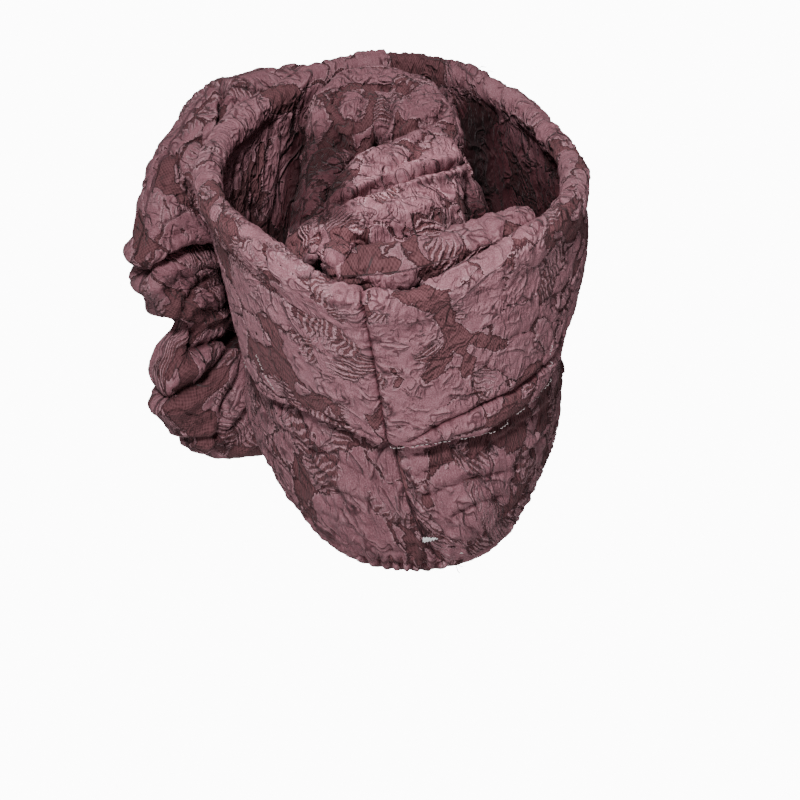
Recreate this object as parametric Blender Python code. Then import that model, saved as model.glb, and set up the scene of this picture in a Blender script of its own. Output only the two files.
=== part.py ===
"""Flower turban cap: fitted cap with an elastic hem, tall flared band with a padded rim,
twisted cloth inside the band, and a large coiled rosette at the wearer's left.

Millimetres here, metres in the model. +Z up, the wearer faces +Y, +X is the wearer's right.
The origin is the middle of the opening for the head. Angles round the head start at the
nape (-Y) and grow towards the wearer's right, so -90 is the side of the rosette.
"""
import math

import bmesh
import bpy
import numpy as np

# ---------------------------------------------------------------- sizes
CLOTH = 2.0              # wall of the cap
GAP = 0.4                # clearance between pieces that touch
CROWN_Z = 131.0          # top of the cap
HEM_TALL = 7.0           # height of the elastic hem's casing
HEM_HALF = 2.2           # half its thickness
BAND_HALF = 2.4          # half the band's doubled wall
RIM_ROLL = 7.5           # radius of the band's padded rim
TUCK_CLEAR = 2.2         # clearance of the twist round the tucked roll

# the cap, round the head
CAP_ROWS = (
    # angle, hem_r, hem_z, belly_r, belly_z
    (-180, 97, 50, 99, 60),
    (-150, 93, 47, 97, 58),
    (-120, 85, 34, 94, 53),
    (-95, 75, 10, 89, 48),
    (-70, 63, -14, 85, 44),
    (-45, 58, -36, 84, 43),
    (-20, 58, -46, 90, 43),
    (0, 57, -49, 95, 42),
    (20, 60, -48, 94, 42),
    (45, 64, -41, 88, 42),
    (70, 68, -20, 85, 43),
    (95, 79, 4, 89, 46),
    (120, 87, 29, 94, 52),
    (150, 94, 46, 97, 58),
)
# the band, round the head: its foot, and the middle of its rim's roll
BAND_ROWS = (
    # angle, foot_z, rim_z, rim_r, bulge
    (-180, 54, 214, 87, 5),
    (-155, 56, 210, 90, 5),
    (-130, 61, 196, 96, 5),
    (-105, 69, 178, 102, 4),
    (-80, 69, 160, 108, 3),
    (-60, 46, 145, 112, 0),
    (-38, 42, 130, 114, 2),
    (-15, 34, 109, 115, 2),
    (0, 27, 107, 114, 2),
    (15, 30, 118, 110, 2),
    (38, 41, 135, 104, 3),
    (60, 55, 146, 99, 4),
    (80, 73, 159, 94, 8),
    (105, 76, 174, 89, 7),
    (130, 63, 192, 86, 5),
    (155, 56, 207, 85, 5),
)
# rolls of the twist, each a run of round sections from one end to the other
TWIST_ROLLS = {
    "arch": (
        # x, y, z, radius
        (-52, -22, 129, 11),
        (-50, -15, 135, 12),
        (-45, 0, 151, 13.5),
        (-42, 14, 171, 14),
        (-38, 28, 190, 15),
        (-29, 36, 200, 14),
        (-15, 38, 203, 13),
        (1, 34, 199, 13),
        (10, 27, 194, 13.5),
        (17, 14, 185, 13.5),
        (19, 0, 175, 13),
    ),
    "face": (
        (-32, 16, 177, 15),
        (-21, 20, 189, 15),
        (-8, 16, 187, 16),
        (4, 6, 180, 15),
    ),
    "upper_roll": (
        (19, 0, 175, 13),
        (9, -14, 171, 14),
        (-3, -30, 167, 14),
        (-15, -46, 164, 13.5),
        (-25, -62, 159, 12),
        (-31, -76, 151, 10),
        (-34, -86, 141, 8),
    ),
    "lower_roll": (
        (-33, -88, 140, 8),
        (-25, -83, 143, 11),
        (-15, -78, 145, 12.5),
        (-2, -70, 146, 12.5),
        (10, -60, 147, 12),
        (19, -50, 146, 9),
    ),
    "left_lobe": (
        (-40, -10, 162, 14),
        (-42, -26, 151, 14),
        (-46, -42, 137, 12),
    ),
    "left_fold": (
        (-35, -86, 144, 6),
        (-45, -74, 138, 7),
        (-56, -62, 130, 7),
    ),
    "left_tail": (
        (-36, -90, 131, 6),
        (-47, -78, 128, 7),
        (-53, -70, 123, 7),
    ),
    "near_skirt": (
        (20, -6, 168, 9),
        (24, -22, 154, 9),
        (27, -36, 138, 10),
    ),
    "far_skirt": (
        (26, 6, 167, 7),
        (32, -4, 153, 8),
        (38, -18, 140, 9),
    ),
    "knot": (
        (-34, -98, 130, 8),
        (-30, -86, 124, 12),
    ),
    "body": (
        (-22, -60, 128, 22),
        (-8, -34, 140, 26),
        (-4, -4, 156, 22),
    ),
    "seat": (
        (-36, -40, 114, 20),
        (0, -56, 112, 24),
        (30, -44, 114, 16),
    ),
}
TWIST_HEART = (-6, -30, 150)     # seen from here, the twist hides no part of itself
TWIST_BLEND = 2.0
# the roll tucked in along the near rim
TUCK_ROWS = (
    # x, y, z, radius
    (-37, -93, 121, 4),
    (-33, -94, 121.5, 9),
    (-22, -95, 122.5, 11.5),
    (-8, -96, 124, 12),
    (7, -94, 127, 11),
    (22, -90, 131, 10),
    (38, -83, 136, 9),
    (53, -74, 141, 7.5),
    (61, -67, 143.5, 6),
    (65, -63, 144, 3),
)
# the rosette: its axis points forward and to the wearer's left
FLOWER_TURN = 55.0       # from the wearer's left towards the front
FLOWER_Z = 91.0          # height of its middle
FLOWER_OUT = 128.0       # from the head's axis to the middle of its outer coil
FLOWER_WRAP = 20.0       # how far the outer coil bends back 100 mm from the rosette's middle
COIL_SPLIT = 50.0        # outer coil's inside edge
BUD_R = 21.0
BUD_AHEAD, BUD_HALF = 12.0, 24.0   # how far the bud's middle is in front, and half its depth
OUTER_ROWS = (
    # angle, reach, puff; angle 0 points to the wearer's back left, 90 up
    (-180, 102, 22),
    (-158, 97, 18),
    (-135, 104, 22),
    (-112, 99, 18),
    (-90, 108, 22),
    (-70, 118, 22),
    (-48, 121, 23),
    (-33, 117, 17),
    (-19, 86, 15),
    (-8, 94, 21),
    (6, 111, 18),
    (20, 112, 24),
    (40, 114, 25),
    (62, 119, 23),
    (82, 119, 22),
    (105, 120, 22),
    (128, 110, 18),
    (152, 108, 23),
)
MIDDLE_ROWS = (
    # angle, reach, puff
    (-180, 49.6, 22),
    (-146, 48, 18),
    (-110, 49.6, 23),
    (-74, 48, 18),
    (-36, 49.6, 23),
    (0, 48, 18),
    (36, 49.6, 22),
    (72, 48, 18),
    (108, 49.6, 23),
    (144, 48, 18),
)

CLOTH_COLOUR = (0.215, 0.118, 0.130)
GROUND_COLOUR = (0.140, 0.062, 0.070)


# ---------------------------------------------------------------- curves
def around(rows, column, angle):
    """A smooth closed curve through one column of a table whose first column is an angle."""
    x = np.array([row[0] for row in rows], float)
    y = np.array([row[column] for row in rows], float)
    q = (np.asarray(angle, float) - x[0]) % 360 + x[0]
    x = np.concatenate([x[-2:] - 360, x, x[:3] + 360])
    y = np.concatenate([y[-2:], y, y[:3]])
    h = np.diff(x)
    d = np.diff(y) / h
    m = np.concatenate([d[:1], (d[:-1] * h[1:] + d[1:] * h[:-1]) / (h[:-1] + h[1:]), d[-1:]])
    i = np.clip(np.searchsorted(x, q, side="right") - 1, 0, len(x) - 2)
    t = (q - x[i]) / h[i]
    return (y[i] * (1 + 2 * t) * (1 - t) ** 2 + h[i] * m[i] * t * (1 - t) ** 2
            + y[i + 1] * t * t * (3 - 2 * t) + h[i] * m[i + 1] * t * t * (t - 1))


def along(rows, t):
    """A smooth open curve through the rows of a table, t from 0 to 1."""
    p = np.array(rows, float)
    p = np.vstack([2 * p[0] - p[1], p, 2 * p[-1] - p[-2]])
    q = np.asarray(t, float) * (len(p) - 3)
    i = np.clip(q.astype(int), 0, len(p) - 4)
    f = (q - i)[..., None]
    a, b, c, d = (p[i + k] for k in range(4))
    return 0.5 * (2 * b + (c - a) * f + (2 * a - 5 * b + 4 * c - d) * f ** 2
                  + (3 * b - a - 3 * c + d) * f ** 3)


def polar(angle, r, z):
    a = np.radians(angle)
    r, z = r + 0 * a, z + 0 * a
    return np.stack([r * np.sin(a), -r * np.cos(a), z], -1)


# ---------------------------------------------------------------- surfaces
def cap_radius(angle, z, inset=0.0):
    """The cap's radius at a height."""
    hem_r, hem_z, belly_r, belly_z = (around(CAP_ROWS, k, angle) for k in (1, 2, 3, 4))
    low = np.clip((belly_z - z) / (belly_z - hem_z), 0, 1)
    high = np.clip((z - belly_z) / (CROWN_Z - inset - belly_z), 0, 1)
    lower = belly_r - (belly_r - hem_r) * (1 - np.sqrt(1 - low ** 2.2))
    upper = (belly_r - inset) * np.sqrt(1 - high ** 2.1)
    return np.where(z < belly_z, lower - inset, upper)


def cap_point(angle, t, inset=0.0):
    """t is 0 at the hem's lower edge, 0.4 at the belly and 1 at the top."""
    hem_z, belly_r, belly_z = (around(CAP_ROWS, k, angle) for k in (2, 3, 4))
    u = np.clip(1 - t / 0.4, 0, 1) * np.pi / 2
    f = np.clip((t - 0.4) / 0.6, 0, 1) * np.pi / 2
    low = belly_z - (belly_z - hem_z) * np.sin(u)
    high = belly_z + (CROWN_Z - inset - belly_z) * np.sin(f)
    z = np.where(t < 0.4, low, high)
    r = np.where(t < 0.4, cap_radius(angle, low, inset), (belly_r - inset) * np.cos(f) ** 0.97)
    return polar(angle, r, z)


def cap_start(angle):
    """The t at which the cap's wall ends above the casing."""
    hem_z, belly_z = (around(CAP_ROWS, k, angle) for k in (2, 4))
    u = np.arcsin((belly_z - hem_z - HEM_TALL - GAP) / (belly_z - hem_z))
    return 0.4 * (1 - u / (np.pi / 2))


def band_wall(angle, s):
    """The middle of the band's wall, s 0 at its foot and 1 at the middle of the rim's roll."""
    foot_z, rim_z, rim_r, bulge = (around(BAND_ROWS, k, angle) for k in (1, 2, 3, 4))
    z = foot_z + (rim_z - foot_z) * s
    foot_r = cap_radius(angle, foot_z) + GAP + BAND_HALF
    r = foot_r + (rim_r - foot_r) * s + bulge * 4 * s * (1 - s)
    least = cap_radius(angle, z) + GAP + BAND_HALF + 0.3
    r = np.where(z < CROWN_Z - 20, 0.5 * (r + least + np.sqrt((r - least) ** 2 + 4)), r)
    return r, z


def band_point(angle, q):
    """Round the band's section: q 0 at the foot, up the outside, 0.5 over the roll, 1 back inside."""
    s = np.where(q < 0.45, q / 0.45, np.where(q > 0.55, (1 - q) / 0.45, 1.0))
    r, z = band_wall(angle, s)
    r2, z2 = band_wall(angle, s - 0.01)
    length = np.hypot(r - r2, z - z2)
    tr, tz = (r - r2) / length, (z - z2) / length
    outer = q <= 0.5
    # the roll grows out of the wall slowly outside and is pinched off inside
    swell = np.where(outer, np.clip((s - 0.80) / 0.20, 0, 1), np.clip((s - 0.90) / 0.10, 0, 1))
    half = BAND_HALF + (RIM_ROLL - BAND_HALF) * np.sin(swell * np.pi / 2) ** 1.5
    turn = np.clip((q - 0.45) / 0.10, 0, 1) * np.pi
    side, over = np.cos(turn), np.sin(turn)
    foot = np.clip(1 - s / 0.04, 0, 1)
    half = half * (1 - 0.25 * foot)
    return polar(angle, r + half * (side * tz + over * tr), z + half * (over * tz - side * tr))


def flower_frame():
    a = math.radians(FLOWER_TURN)
    out = np.array([-math.cos(a), math.sin(a), 0.0])
    back = np.array([-math.sin(a), -math.cos(a), 0.0])
    return out, back


def flower_point(across, up, forward):
    """A place in the rosette: across is towards the back left, forward away from the head."""
    out, back = flower_frame()
    n = FLOWER_OUT - FLOWER_WRAP * (across / 100) ** 2 + forward
    return n[..., None] * out + across[..., None] * back + up[..., None] * np.array([0, 0, 1.0]) \
        + np.array([0, 0, FLOWER_Z])


def coil_point(rows, inside, ahead, angle, section):
    """One puffed coil: section 0 is its outside edge, 90 its front, 180 its inside edge."""
    reach, puff = (around(rows, k, angle) for k in (1, 2))
    mid, half = (reach + inside) / 2, (reach - inside) / 2
    a, s = np.radians(angle), np.radians(section)
    c, w = np.cos(s), np.sin(s)
    r = mid + half * np.sign(c) * np.abs(c) ** 0.7
    return flower_point(r * np.cos(a), r * np.sin(a), ahead + puff * np.sign(w) * np.abs(w) ** 0.7)


def chain_distance(p, rows):
    """Distance from points to a run of round sections, negative inside."""
    best = None
    for a, b in zip(rows, rows[1:]):
        a, b = np.array(a, float), np.array(b, float)
        d = b[:3] - a[:3]
        t = np.clip(((p - a[:3]) @ d) / (d @ d), 0, 1)
        gap = np.linalg.norm(p - a[:3] - t[:, None] * d, axis=1) - (a[3] + (b[3] - a[3]) * t)
        best = gap if best is None else np.minimum(best, gap)
    return best


def blend(a, b, k):
    h = np.clip(0.5 + 0.5 * (b - a) / k, 0, 1)
    return b * (1 - h) + a * h - k * h * (1 - h)


def twist_distance(p):
    solid = None
    for rows in TWIST_ROLLS.values():
        d = chain_distance(p, rows)
        solid = d if solid is None else blend(solid, d, TWIST_BLEND)
    angle = np.degrees(np.arctan2(p[:, 0], -p[:, 1]))
    r = np.hypot(p[:, 0], p[:, 1])
    belly_r, belly_z = around(CAP_ROWS, 3, angle), around(CAP_ROWS, 4, angle)
    # clear of the cap's dome
    reach = np.sqrt((r / (belly_r + 2)) ** 2 + (np.maximum(p[:, 2] - belly_z, 0) / (CROWN_Z + 2 - belly_z)) ** 2)
    dome = (1 - reach) * 80
    tuck = TUCK_CLEAR - chain_distance(p, TUCK_ROWS)
    return np.maximum(np.maximum(solid, dome), tuck)


def march(directions):
    """Distance along each direction from the heart of the twist to its surface."""
    heart = np.array(TWIST_HEART, float)
    t = np.full(len(directions), 2.0)
    for _ in range(90):
        d = twist_distance(heart + directions * t[:, None])
        t = t + np.where(d < -0.02, np.maximum(-d * 0.8, 0.02), 0)
    return t


# ---------------------------------------------------------------- meshes
def material(name, colour, roughness):
    made = bpy.data.materials.new(name)
    made.use_nodes = True
    shader = made.node_tree.nodes["Principled BSDF"]
    shader.inputs["Base Color"].default_value = (*colour, 1)
    shader.inputs["Roughness"].default_value = roughness
    shader.inputs["Metallic"].default_value = 0
    return made


def make(name, verts, faces, colour):
    mesh = bpy.data.meshes.new(name)
    mesh.from_pydata([tuple(v) for v in np.asarray(verts) * 0.001], [], faces)
    mesh.validate()
    work = bmesh.new()
    work.from_mesh(mesh)
    bmesh.ops.recalc_face_normals(work, faces=work.faces)
    if work.calc_volume(signed=True) < 0:
        bmesh.ops.reverse_faces(work, faces=work.faces)
    bmesh.ops.triangulate(work, faces=work.faces)
    work.to_mesh(mesh)
    work.free()
    mesh.materials.append(material(name + "_cloth", colour, 0.7))
    piece = bpy.data.objects.new(name, mesh)
    bpy.context.collection.objects.link(piece)
    return piece


def ring(name, point, around_count, section_count, colour):
    """A closed ring of closed sections."""
    verts = point(around_count, section_count).reshape(-1, 3)
    faces = [(i * section_count + j, i * section_count + (j + 1) % section_count,
              ((i + 1) % around_count) * section_count + (j + 1) % section_count,
              ((i + 1) % around_count) * section_count + j)
             for i in range(around_count) for j in range(section_count)]
    return make(name, verts, faces, colour)


def cap_base():
    n, m = 54, 11
    angle = np.arange(n) * 360 / n - 180
    shells = []
    for inset in (0.0, CLOTH):
        t = cap_start(angle)[:, None] + (1 - cap_start(angle)[:, None]) * (np.arange(m) / m)[None] ** 0.9
        shells.append(cap_point(np.repeat(angle[:, None], m, 1), t, inset))
    verts = np.vstack([shells[0].reshape(-1, 3), shells[1].reshape(-1, 3),
                       [[0, 0, CROWN_Z]], [[0, 0, CROWN_Z - CLOTH]]])
    faces = []
    for k in range(2):
        base = k * n * m
        for i in range(n):
            nxt = (i + 1) % n
            for j in range(m - 1):
                faces.append((base + i * m + j, base + nxt * m + j, base + nxt * m + j + 1, base + i * m + j + 1))
            faces.append((base + i * m + m - 1, base + nxt * m + m - 1, 2 * n * m + k))
    for i in range(n):
        nxt = (i + 1) % n
        faces.append((i * m, nxt * m, n * m + nxt * m, n * m + i * m))
    return make("cap_base", verts, faces, CLOTH_COLOUR)


def hem_band():
    def point(n, m):
        angle = np.repeat((np.arange(n) * 360 / n - 180)[:, None], m, 1)
        turn = np.repeat((np.arange(m) * 2 * np.pi / m)[None], n, 0)
        hem_z = around(CAP_ROWS, 2, angle)
        z = hem_z + HEM_TALL / 2 + 0.5 * HEM_TALL * np.sin(turn)
        r = cap_radius(angle, z) - HEM_HALF + HEM_HALF * np.cos(turn)
        return polar(angle, r, z)
    return ring("hem_band", point, 54, 8, GROUND_COLOUR)


def halo_band():
    def point(n, m):
        angle = np.repeat((np.arange(n) * 360 / n - 180)[:, None], m, 1)
        q = np.array([0.02, 0.10, 0.20, 0.30, 0.38, 0.43, 0.465, 0.485, 0.5, 0.515, 0.535, 0.55,
                      0.575, 0.60, 0.70, 0.80, 0.90, 0.98])
        return band_point(angle, np.repeat(q[None], n, 0))
    return ring("halo_band", point, 60, 18, CLOTH_COLOUR)


def crown_twist():
    work = bmesh.new()
    bmesh.ops.create_icosphere(work, subdivisions=4, radius=1)
    work.verts.ensure_lookup_table()
    directions = np.array([v.co[:] for v in work.verts])
    directions /= np.linalg.norm(directions, axis=1)[:, None]
    faces = [tuple(v.index for v in f.verts) for f in work.faces]
    work.free()
    verts = np.array(TWIST_HEART, float) + directions * march(directions)[:, None]
    return make("crown_twist", verts, faces, CLOTH_COLOUR)


def tuck_roll():
    n, m = 20, 10
    rows = along(TUCK_ROWS, np.linspace(0, 1, n))
    path, radius = rows[:, :3], rows[:, 3]
    ahead = np.gradient(path, axis=0)
    ahead /= np.linalg.norm(ahead, axis=1)[:, None]
    side = np.cross(ahead, [0, 0, 1.0])
    side /= np.linalg.norm(side, axis=1)[:, None]
    up = np.cross(side, ahead)
    turn = np.arange(m) * 2 * np.pi / m
    verts = (path[:, None] + radius[:, None, None] * (np.cos(turn)[None, :, None] * side[:, None]
                                                      + np.sin(turn)[None, :, None] * up[:, None])).reshape(-1, 3)
    verts = np.vstack([verts, path[:1] - ahead[:1] * 1.5, path[-1:] + ahead[-1:] * 1.5])
    faces = [(i * m + j, i * m + (j + 1) % m, (i + 1) * m + (j + 1) % m, (i + 1) * m + j)
             for i in range(n - 1) for j in range(m)]
    faces += [(j, (j + 1) % m, n * m) for j in range(m)]
    faces += [((n - 1) * m + j, (n - 1) * m + (j + 1) % m, n * m + 1) for j in range(m)]
    return make("tuck_roll", verts, faces, CLOTH_COLOUR)


def flower_coils():
    def coil(rows, inside, ahead):
        def point(n, m):
            angle = np.repeat((np.arange(n) * 360 / n - 180)[:, None], m, 1)
            section = np.repeat((np.arange(m) * 360 / m)[None], n, 0)
            return coil_point(rows, inside, ahead, angle, section)
        return point
    ring("flower_outer_coil", coil(OUTER_ROWS, COIL_SPLIT, 0.0), 54, 12, CLOTH_COLOUR)
    ring("flower_middle_coil", coil(MIDDLE_ROWS, BUD_R + GAP, 8.0), 40, 10, CLOTH_COLOUR)
    n, m = 24, 9
    turn = np.repeat((np.arange(n) * 2 * np.pi / n)[:, None], m, 1)
    lift = np.repeat((np.linspace(-90, 90, m + 2)[1:-1])[None], n, 0)
    r = BUD_R * np.cos(np.radians(lift)) ** 0.6 * (1 - 0.05 * (1 + np.cos(3 * turn)))
    verts = flower_point(r * np.cos(turn), r * np.sin(turn), BUD_AHEAD + BUD_HALF * np.sin(np.radians(lift)))
    ends = flower_point(np.zeros(2), np.zeros(2), BUD_AHEAD + BUD_HALF * np.array([-1.0, 1.0]))
    verts = np.vstack([verts.reshape(-1, 3), ends])
    faces = [(i * m + j, ((i + 1) % n) * m + j, ((i + 1) % n) * m + j + 1, i * m + j + 1)
             for i in range(n) for j in range(m - 1)]
    faces += [(i * m, ((i + 1) % n) * m, n * m) for i in range(n)]
    faces += [(i * m + m - 1, ((i + 1) % n) * m + m - 1, n * m + 1) for i in range(n)]
    make("flower_bud", verts, faces, CLOTH_COLOUR)


def main():
    for old in list(bpy.data.objects):
        bpy.data.objects.remove(old, do_unlink=True)
    cap_base()
    hem_band()
    halo_band()
    crown_twist()
    tuck_roll()
    flower_coils()


main()
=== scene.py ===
"""The flower turban cap as it looks: cloqué jacquard with raised flowers on a mesh ground,
over the fixed frame of its solids. Millimetres inside the functions, metres in the scene."""
import math

import bmesh
import bpy
import numpy as np
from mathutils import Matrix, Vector


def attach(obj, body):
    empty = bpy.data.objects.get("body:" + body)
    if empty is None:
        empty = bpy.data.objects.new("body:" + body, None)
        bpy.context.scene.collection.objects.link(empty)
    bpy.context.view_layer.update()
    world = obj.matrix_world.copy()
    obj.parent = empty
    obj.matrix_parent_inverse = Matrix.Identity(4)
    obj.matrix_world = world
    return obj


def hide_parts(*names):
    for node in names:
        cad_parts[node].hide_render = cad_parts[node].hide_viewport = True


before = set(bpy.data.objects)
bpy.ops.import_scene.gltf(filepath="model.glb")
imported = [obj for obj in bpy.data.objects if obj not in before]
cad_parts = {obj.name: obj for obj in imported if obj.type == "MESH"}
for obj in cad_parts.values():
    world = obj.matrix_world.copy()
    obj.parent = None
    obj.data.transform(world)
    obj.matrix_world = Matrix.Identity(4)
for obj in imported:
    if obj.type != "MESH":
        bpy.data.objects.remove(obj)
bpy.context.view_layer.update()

# ---------------------------------------------------------------- sizes, as in the solids
CLOTH = 2.0              # wall of the cap
GAP = 0.4                # clearance between pieces that touch
CROWN_Z = 131.0          # top of the cap
HEM_TALL = 7.0           # height of the elastic hem's casing
HEM_HALF = 2.2           # half its thickness
BAND_HALF = 2.4          # half the band's doubled wall
RIM_ROLL = 7.5           # radius of the band's padded rim
TUCK_CLEAR = 2.2         # clearance of the twist round the tucked roll

# the cap, round the head
CAP_ROWS = (
    # angle, hem_r, hem_z, belly_r, belly_z
    (-180, 97, 50, 99, 60),
    (-150, 93, 47, 97, 58),
    (-120, 85, 34, 94, 53),
    (-95, 75, 10, 89, 48),
    (-70, 63, -14, 85, 44),
    (-45, 58, -36, 84, 43),
    (-20, 58, -46, 90, 43),
    (0, 57, -49, 95, 42),
    (20, 60, -48, 94, 42),
    (45, 64, -41, 88, 42),
    (70, 68, -20, 85, 43),
    (95, 79, 4, 89, 46),
    (120, 87, 29, 94, 52),
    (150, 94, 46, 97, 58),
)
# the band, round the head: its foot, and the middle of its rim's roll
BAND_ROWS = (
    # angle, foot_z, rim_z, rim_r, bulge
    (-180, 54, 214, 87, 5),
    (-155, 56, 210, 90, 5),
    (-130, 61, 196, 96, 5),
    (-105, 69, 178, 102, 4),
    (-80, 69, 160, 108, 3),
    (-60, 46, 145, 112, 0),
    (-38, 42, 130, 114, 2),
    (-15, 34, 109, 115, 2),
    (0, 27, 107, 114, 2),
    (15, 30, 118, 110, 2),
    (38, 41, 135, 104, 3),
    (60, 55, 146, 99, 4),
    (80, 73, 159, 94, 8),
    (105, 76, 174, 89, 7),
    (130, 63, 192, 86, 5),
    (155, 56, 207, 85, 5),
)
# rolls of the twist, each a run of round sections from one end to the other
TWIST_ROLLS = {
    "arch": (
        # x, y, z, radius
        (-52, -22, 129, 11),
        (-50, -15, 135, 12),
        (-45, 0, 151, 13.5),
        (-42, 14, 171, 14),
        (-38, 28, 190, 15),
        (-29, 36, 200, 14),
        (-15, 38, 203, 13),
        (1, 34, 199, 13),
        (10, 27, 194, 13.5),
        (17, 14, 185, 13.5),
        (19, 0, 175, 13),
    ),
    "face": (
        (-32, 16, 177, 15),
        (-21, 20, 189, 15),
        (-8, 16, 187, 16),
        (4, 6, 180, 15),
    ),
    "upper_roll": (
        (19, 0, 175, 13),
        (9, -14, 171, 14),
        (-3, -30, 167, 14),
        (-15, -46, 164, 13.5),
        (-25, -62, 159, 12),
        (-31, -76, 151, 10),
        (-34, -86, 141, 8),
    ),
    "lower_roll": (
        (-33, -88, 140, 8),
        (-25, -83, 143, 11),
        (-15, -78, 145, 12.5),
        (-2, -70, 146, 12.5),
        (10, -60, 147, 12),
        (19, -50, 146, 9),
    ),
    "left_lobe": (
        (-40, -10, 162, 14),
        (-42, -26, 151, 14),
        (-46, -42, 137, 12),
    ),
    "left_fold": (
        (-35, -86, 144, 6),
        (-45, -74, 138, 7),
        (-56, -62, 130, 7),
    ),
    "left_tail": (
        (-36, -90, 131, 6),
        (-47, -78, 128, 7),
        (-53, -70, 123, 7),
    ),
    "near_skirt": (
        (20, -6, 168, 9),
        (24, -22, 154, 9),
        (27, -36, 138, 10),
    ),
    "far_skirt": (
        (26, 6, 167, 7),
        (32, -4, 153, 8),
        (38, -18, 140, 9),
    ),
    "knot": (
        (-34, -98, 130, 8),
        (-30, -86, 124, 12),
    ),
    "body": (
        (-22, -60, 128, 22),
        (-8, -34, 140, 26),
        (-4, -4, 156, 22),
    ),
    "seat": (
        (-36, -40, 114, 20),
        (0, -56, 112, 24),
        (30, -44, 114, 16),
    ),
}
TWIST_HEART = (-6, -30, 150)     # seen from here, the twist hides no part of itself
TWIST_BLEND = 2.0
# the roll tucked in along the near rim
TUCK_ROWS = (
    # x, y, z, radius
    (-37, -93, 121, 4),
    (-33, -94, 121.5, 9),
    (-22, -95, 122.5, 11.5),
    (-8, -96, 124, 12),
    (7, -94, 127, 11),
    (22, -90, 131, 10),
    (38, -83, 136, 9),
    (53, -74, 141, 7.5),
    (61, -67, 143.5, 6),
    (65, -63, 144, 3),
)
# the rosette: its axis points forward and to the wearer's left
FLOWER_TURN = 55.0       # from the wearer's left towards the front
FLOWER_Z = 91.0          # height of its middle
FLOWER_OUT = 128.0       # from the head's axis to the middle of its outer coil
FLOWER_WRAP = 20.0       # how far the outer coil bends back 100 mm from the rosette's middle
COIL_SPLIT = 50.0        # outer coil's inside edge
BUD_R = 21.0
BUD_AHEAD, BUD_HALF = 12.0, 24.0   # how far the bud's middle is in front, and half its depth
OUTER_ROWS = (
    # angle, reach, puff; angle 0 points to the wearer's back left, 90 up
    (-180, 102, 22),
    (-158, 97, 18),
    (-135, 104, 22),
    (-112, 99, 18),
    (-90, 108, 22),
    (-70, 118, 22),
    (-48, 121, 23),
    (-33, 117, 17),
    (-19, 86, 15),
    (-8, 94, 21),
    (6, 111, 18),
    (20, 112, 24),
    (40, 114, 25),
    (62, 119, 23),
    (82, 119, 22),
    (105, 120, 22),
    (128, 110, 18),
    (152, 108, 23),
)
MIDDLE_ROWS = (
    # angle, reach, puff
    (-180, 49.6, 22),
    (-146, 48, 18),
    (-110, 49.6, 23),
    (-74, 48, 18),
    (-36, 49.6, 23),
    (0, 48, 18),
    (36, 49.6, 22),
    (72, 48, 18),
    (108, 49.6, 23),
    (144, 48, 18),
)


# ---------------------------------------------------------------- curves
def around(rows, column, angle):
    """A smooth closed curve through one column of a table whose first column is an angle."""
    x = np.array([row[0] for row in rows], float)
    y = np.array([row[column] for row in rows], float)
    q = (np.asarray(angle, float) - x[0]) % 360 + x[0]
    x = np.concatenate([x[-2:] - 360, x, x[:3] + 360])
    y = np.concatenate([y[-2:], y, y[:3]])
    h = np.diff(x)
    d = np.diff(y) / h
    m = np.concatenate([d[:1], (d[:-1] * h[1:] + d[1:] * h[:-1]) / (h[:-1] + h[1:]), d[-1:]])
    i = np.clip(np.searchsorted(x, q, side="right") - 1, 0, len(x) - 2)
    t = (q - x[i]) / h[i]
    return (y[i] * (1 + 2 * t) * (1 - t) ** 2 + h[i] * m[i] * t * (1 - t) ** 2
            + y[i + 1] * t * t * (3 - 2 * t) + h[i] * m[i + 1] * t * t * (t - 1))


def along(rows, t):
    """A smooth open curve through the rows of a table, t from 0 to 1."""
    p = np.array(rows, float)
    p = np.vstack([2 * p[0] - p[1], p, 2 * p[-1] - p[-2]])
    q = np.asarray(t, float) * (len(p) - 3)
    i = np.clip(q.astype(int), 0, len(p) - 4)
    f = (q - i)[..., None]
    a, b, c, d = (p[i + k] for k in range(4))
    return 0.5 * (2 * b + (c - a) * f + (2 * a - 5 * b + 4 * c - d) * f ** 2
                  + (3 * b - a - 3 * c + d) * f ** 3)


def polar(angle, r, z):
    a = np.radians(angle)
    r, z = r + 0 * a, z + 0 * a
    return np.stack([r * np.sin(a), -r * np.cos(a), z], -1)


# ---------------------------------------------------------------- surfaces
def cap_radius(angle, z, inset=0.0):
    """The cap's radius at a height."""
    hem_r, hem_z, belly_r, belly_z = (around(CAP_ROWS, k, angle) for k in (1, 2, 3, 4))
    low = np.clip((belly_z - z) / (belly_z - hem_z), 0, 1)
    high = np.clip((z - belly_z) / (CROWN_Z - inset - belly_z), 0, 1)
    lower = belly_r - (belly_r - hem_r) * (1 - np.sqrt(1 - low ** 2.2))
    upper = (belly_r - inset) * np.sqrt(1 - high ** 2.1)
    return np.where(z < belly_z, lower - inset, upper)


def cap_point(angle, t, inset=0.0):
    """t is 0 at the hem's lower edge, 0.4 at the belly and 1 at the top."""
    hem_z, belly_r, belly_z = (around(CAP_ROWS, k, angle) for k in (2, 3, 4))
    u = np.clip(1 - t / 0.4, 0, 1) * np.pi / 2
    f = np.clip((t - 0.4) / 0.6, 0, 1) * np.pi / 2
    low = belly_z - (belly_z - hem_z) * np.sin(u)
    high = belly_z + (CROWN_Z - inset - belly_z) * np.sin(f)
    z = np.where(t < 0.4, low, high)
    r = np.where(t < 0.4, cap_radius(angle, low, inset), (belly_r - inset) * np.cos(f) ** 0.97)
    return polar(angle, r, z)


def cap_start(angle):
    """The t at which the cap's wall ends above the casing."""
    hem_z, belly_z = (around(CAP_ROWS, k, angle) for k in (2, 4))
    u = np.arcsin((belly_z - hem_z - HEM_TALL - GAP) / (belly_z - hem_z))
    return 0.4 * (1 - u / (np.pi / 2))


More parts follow.
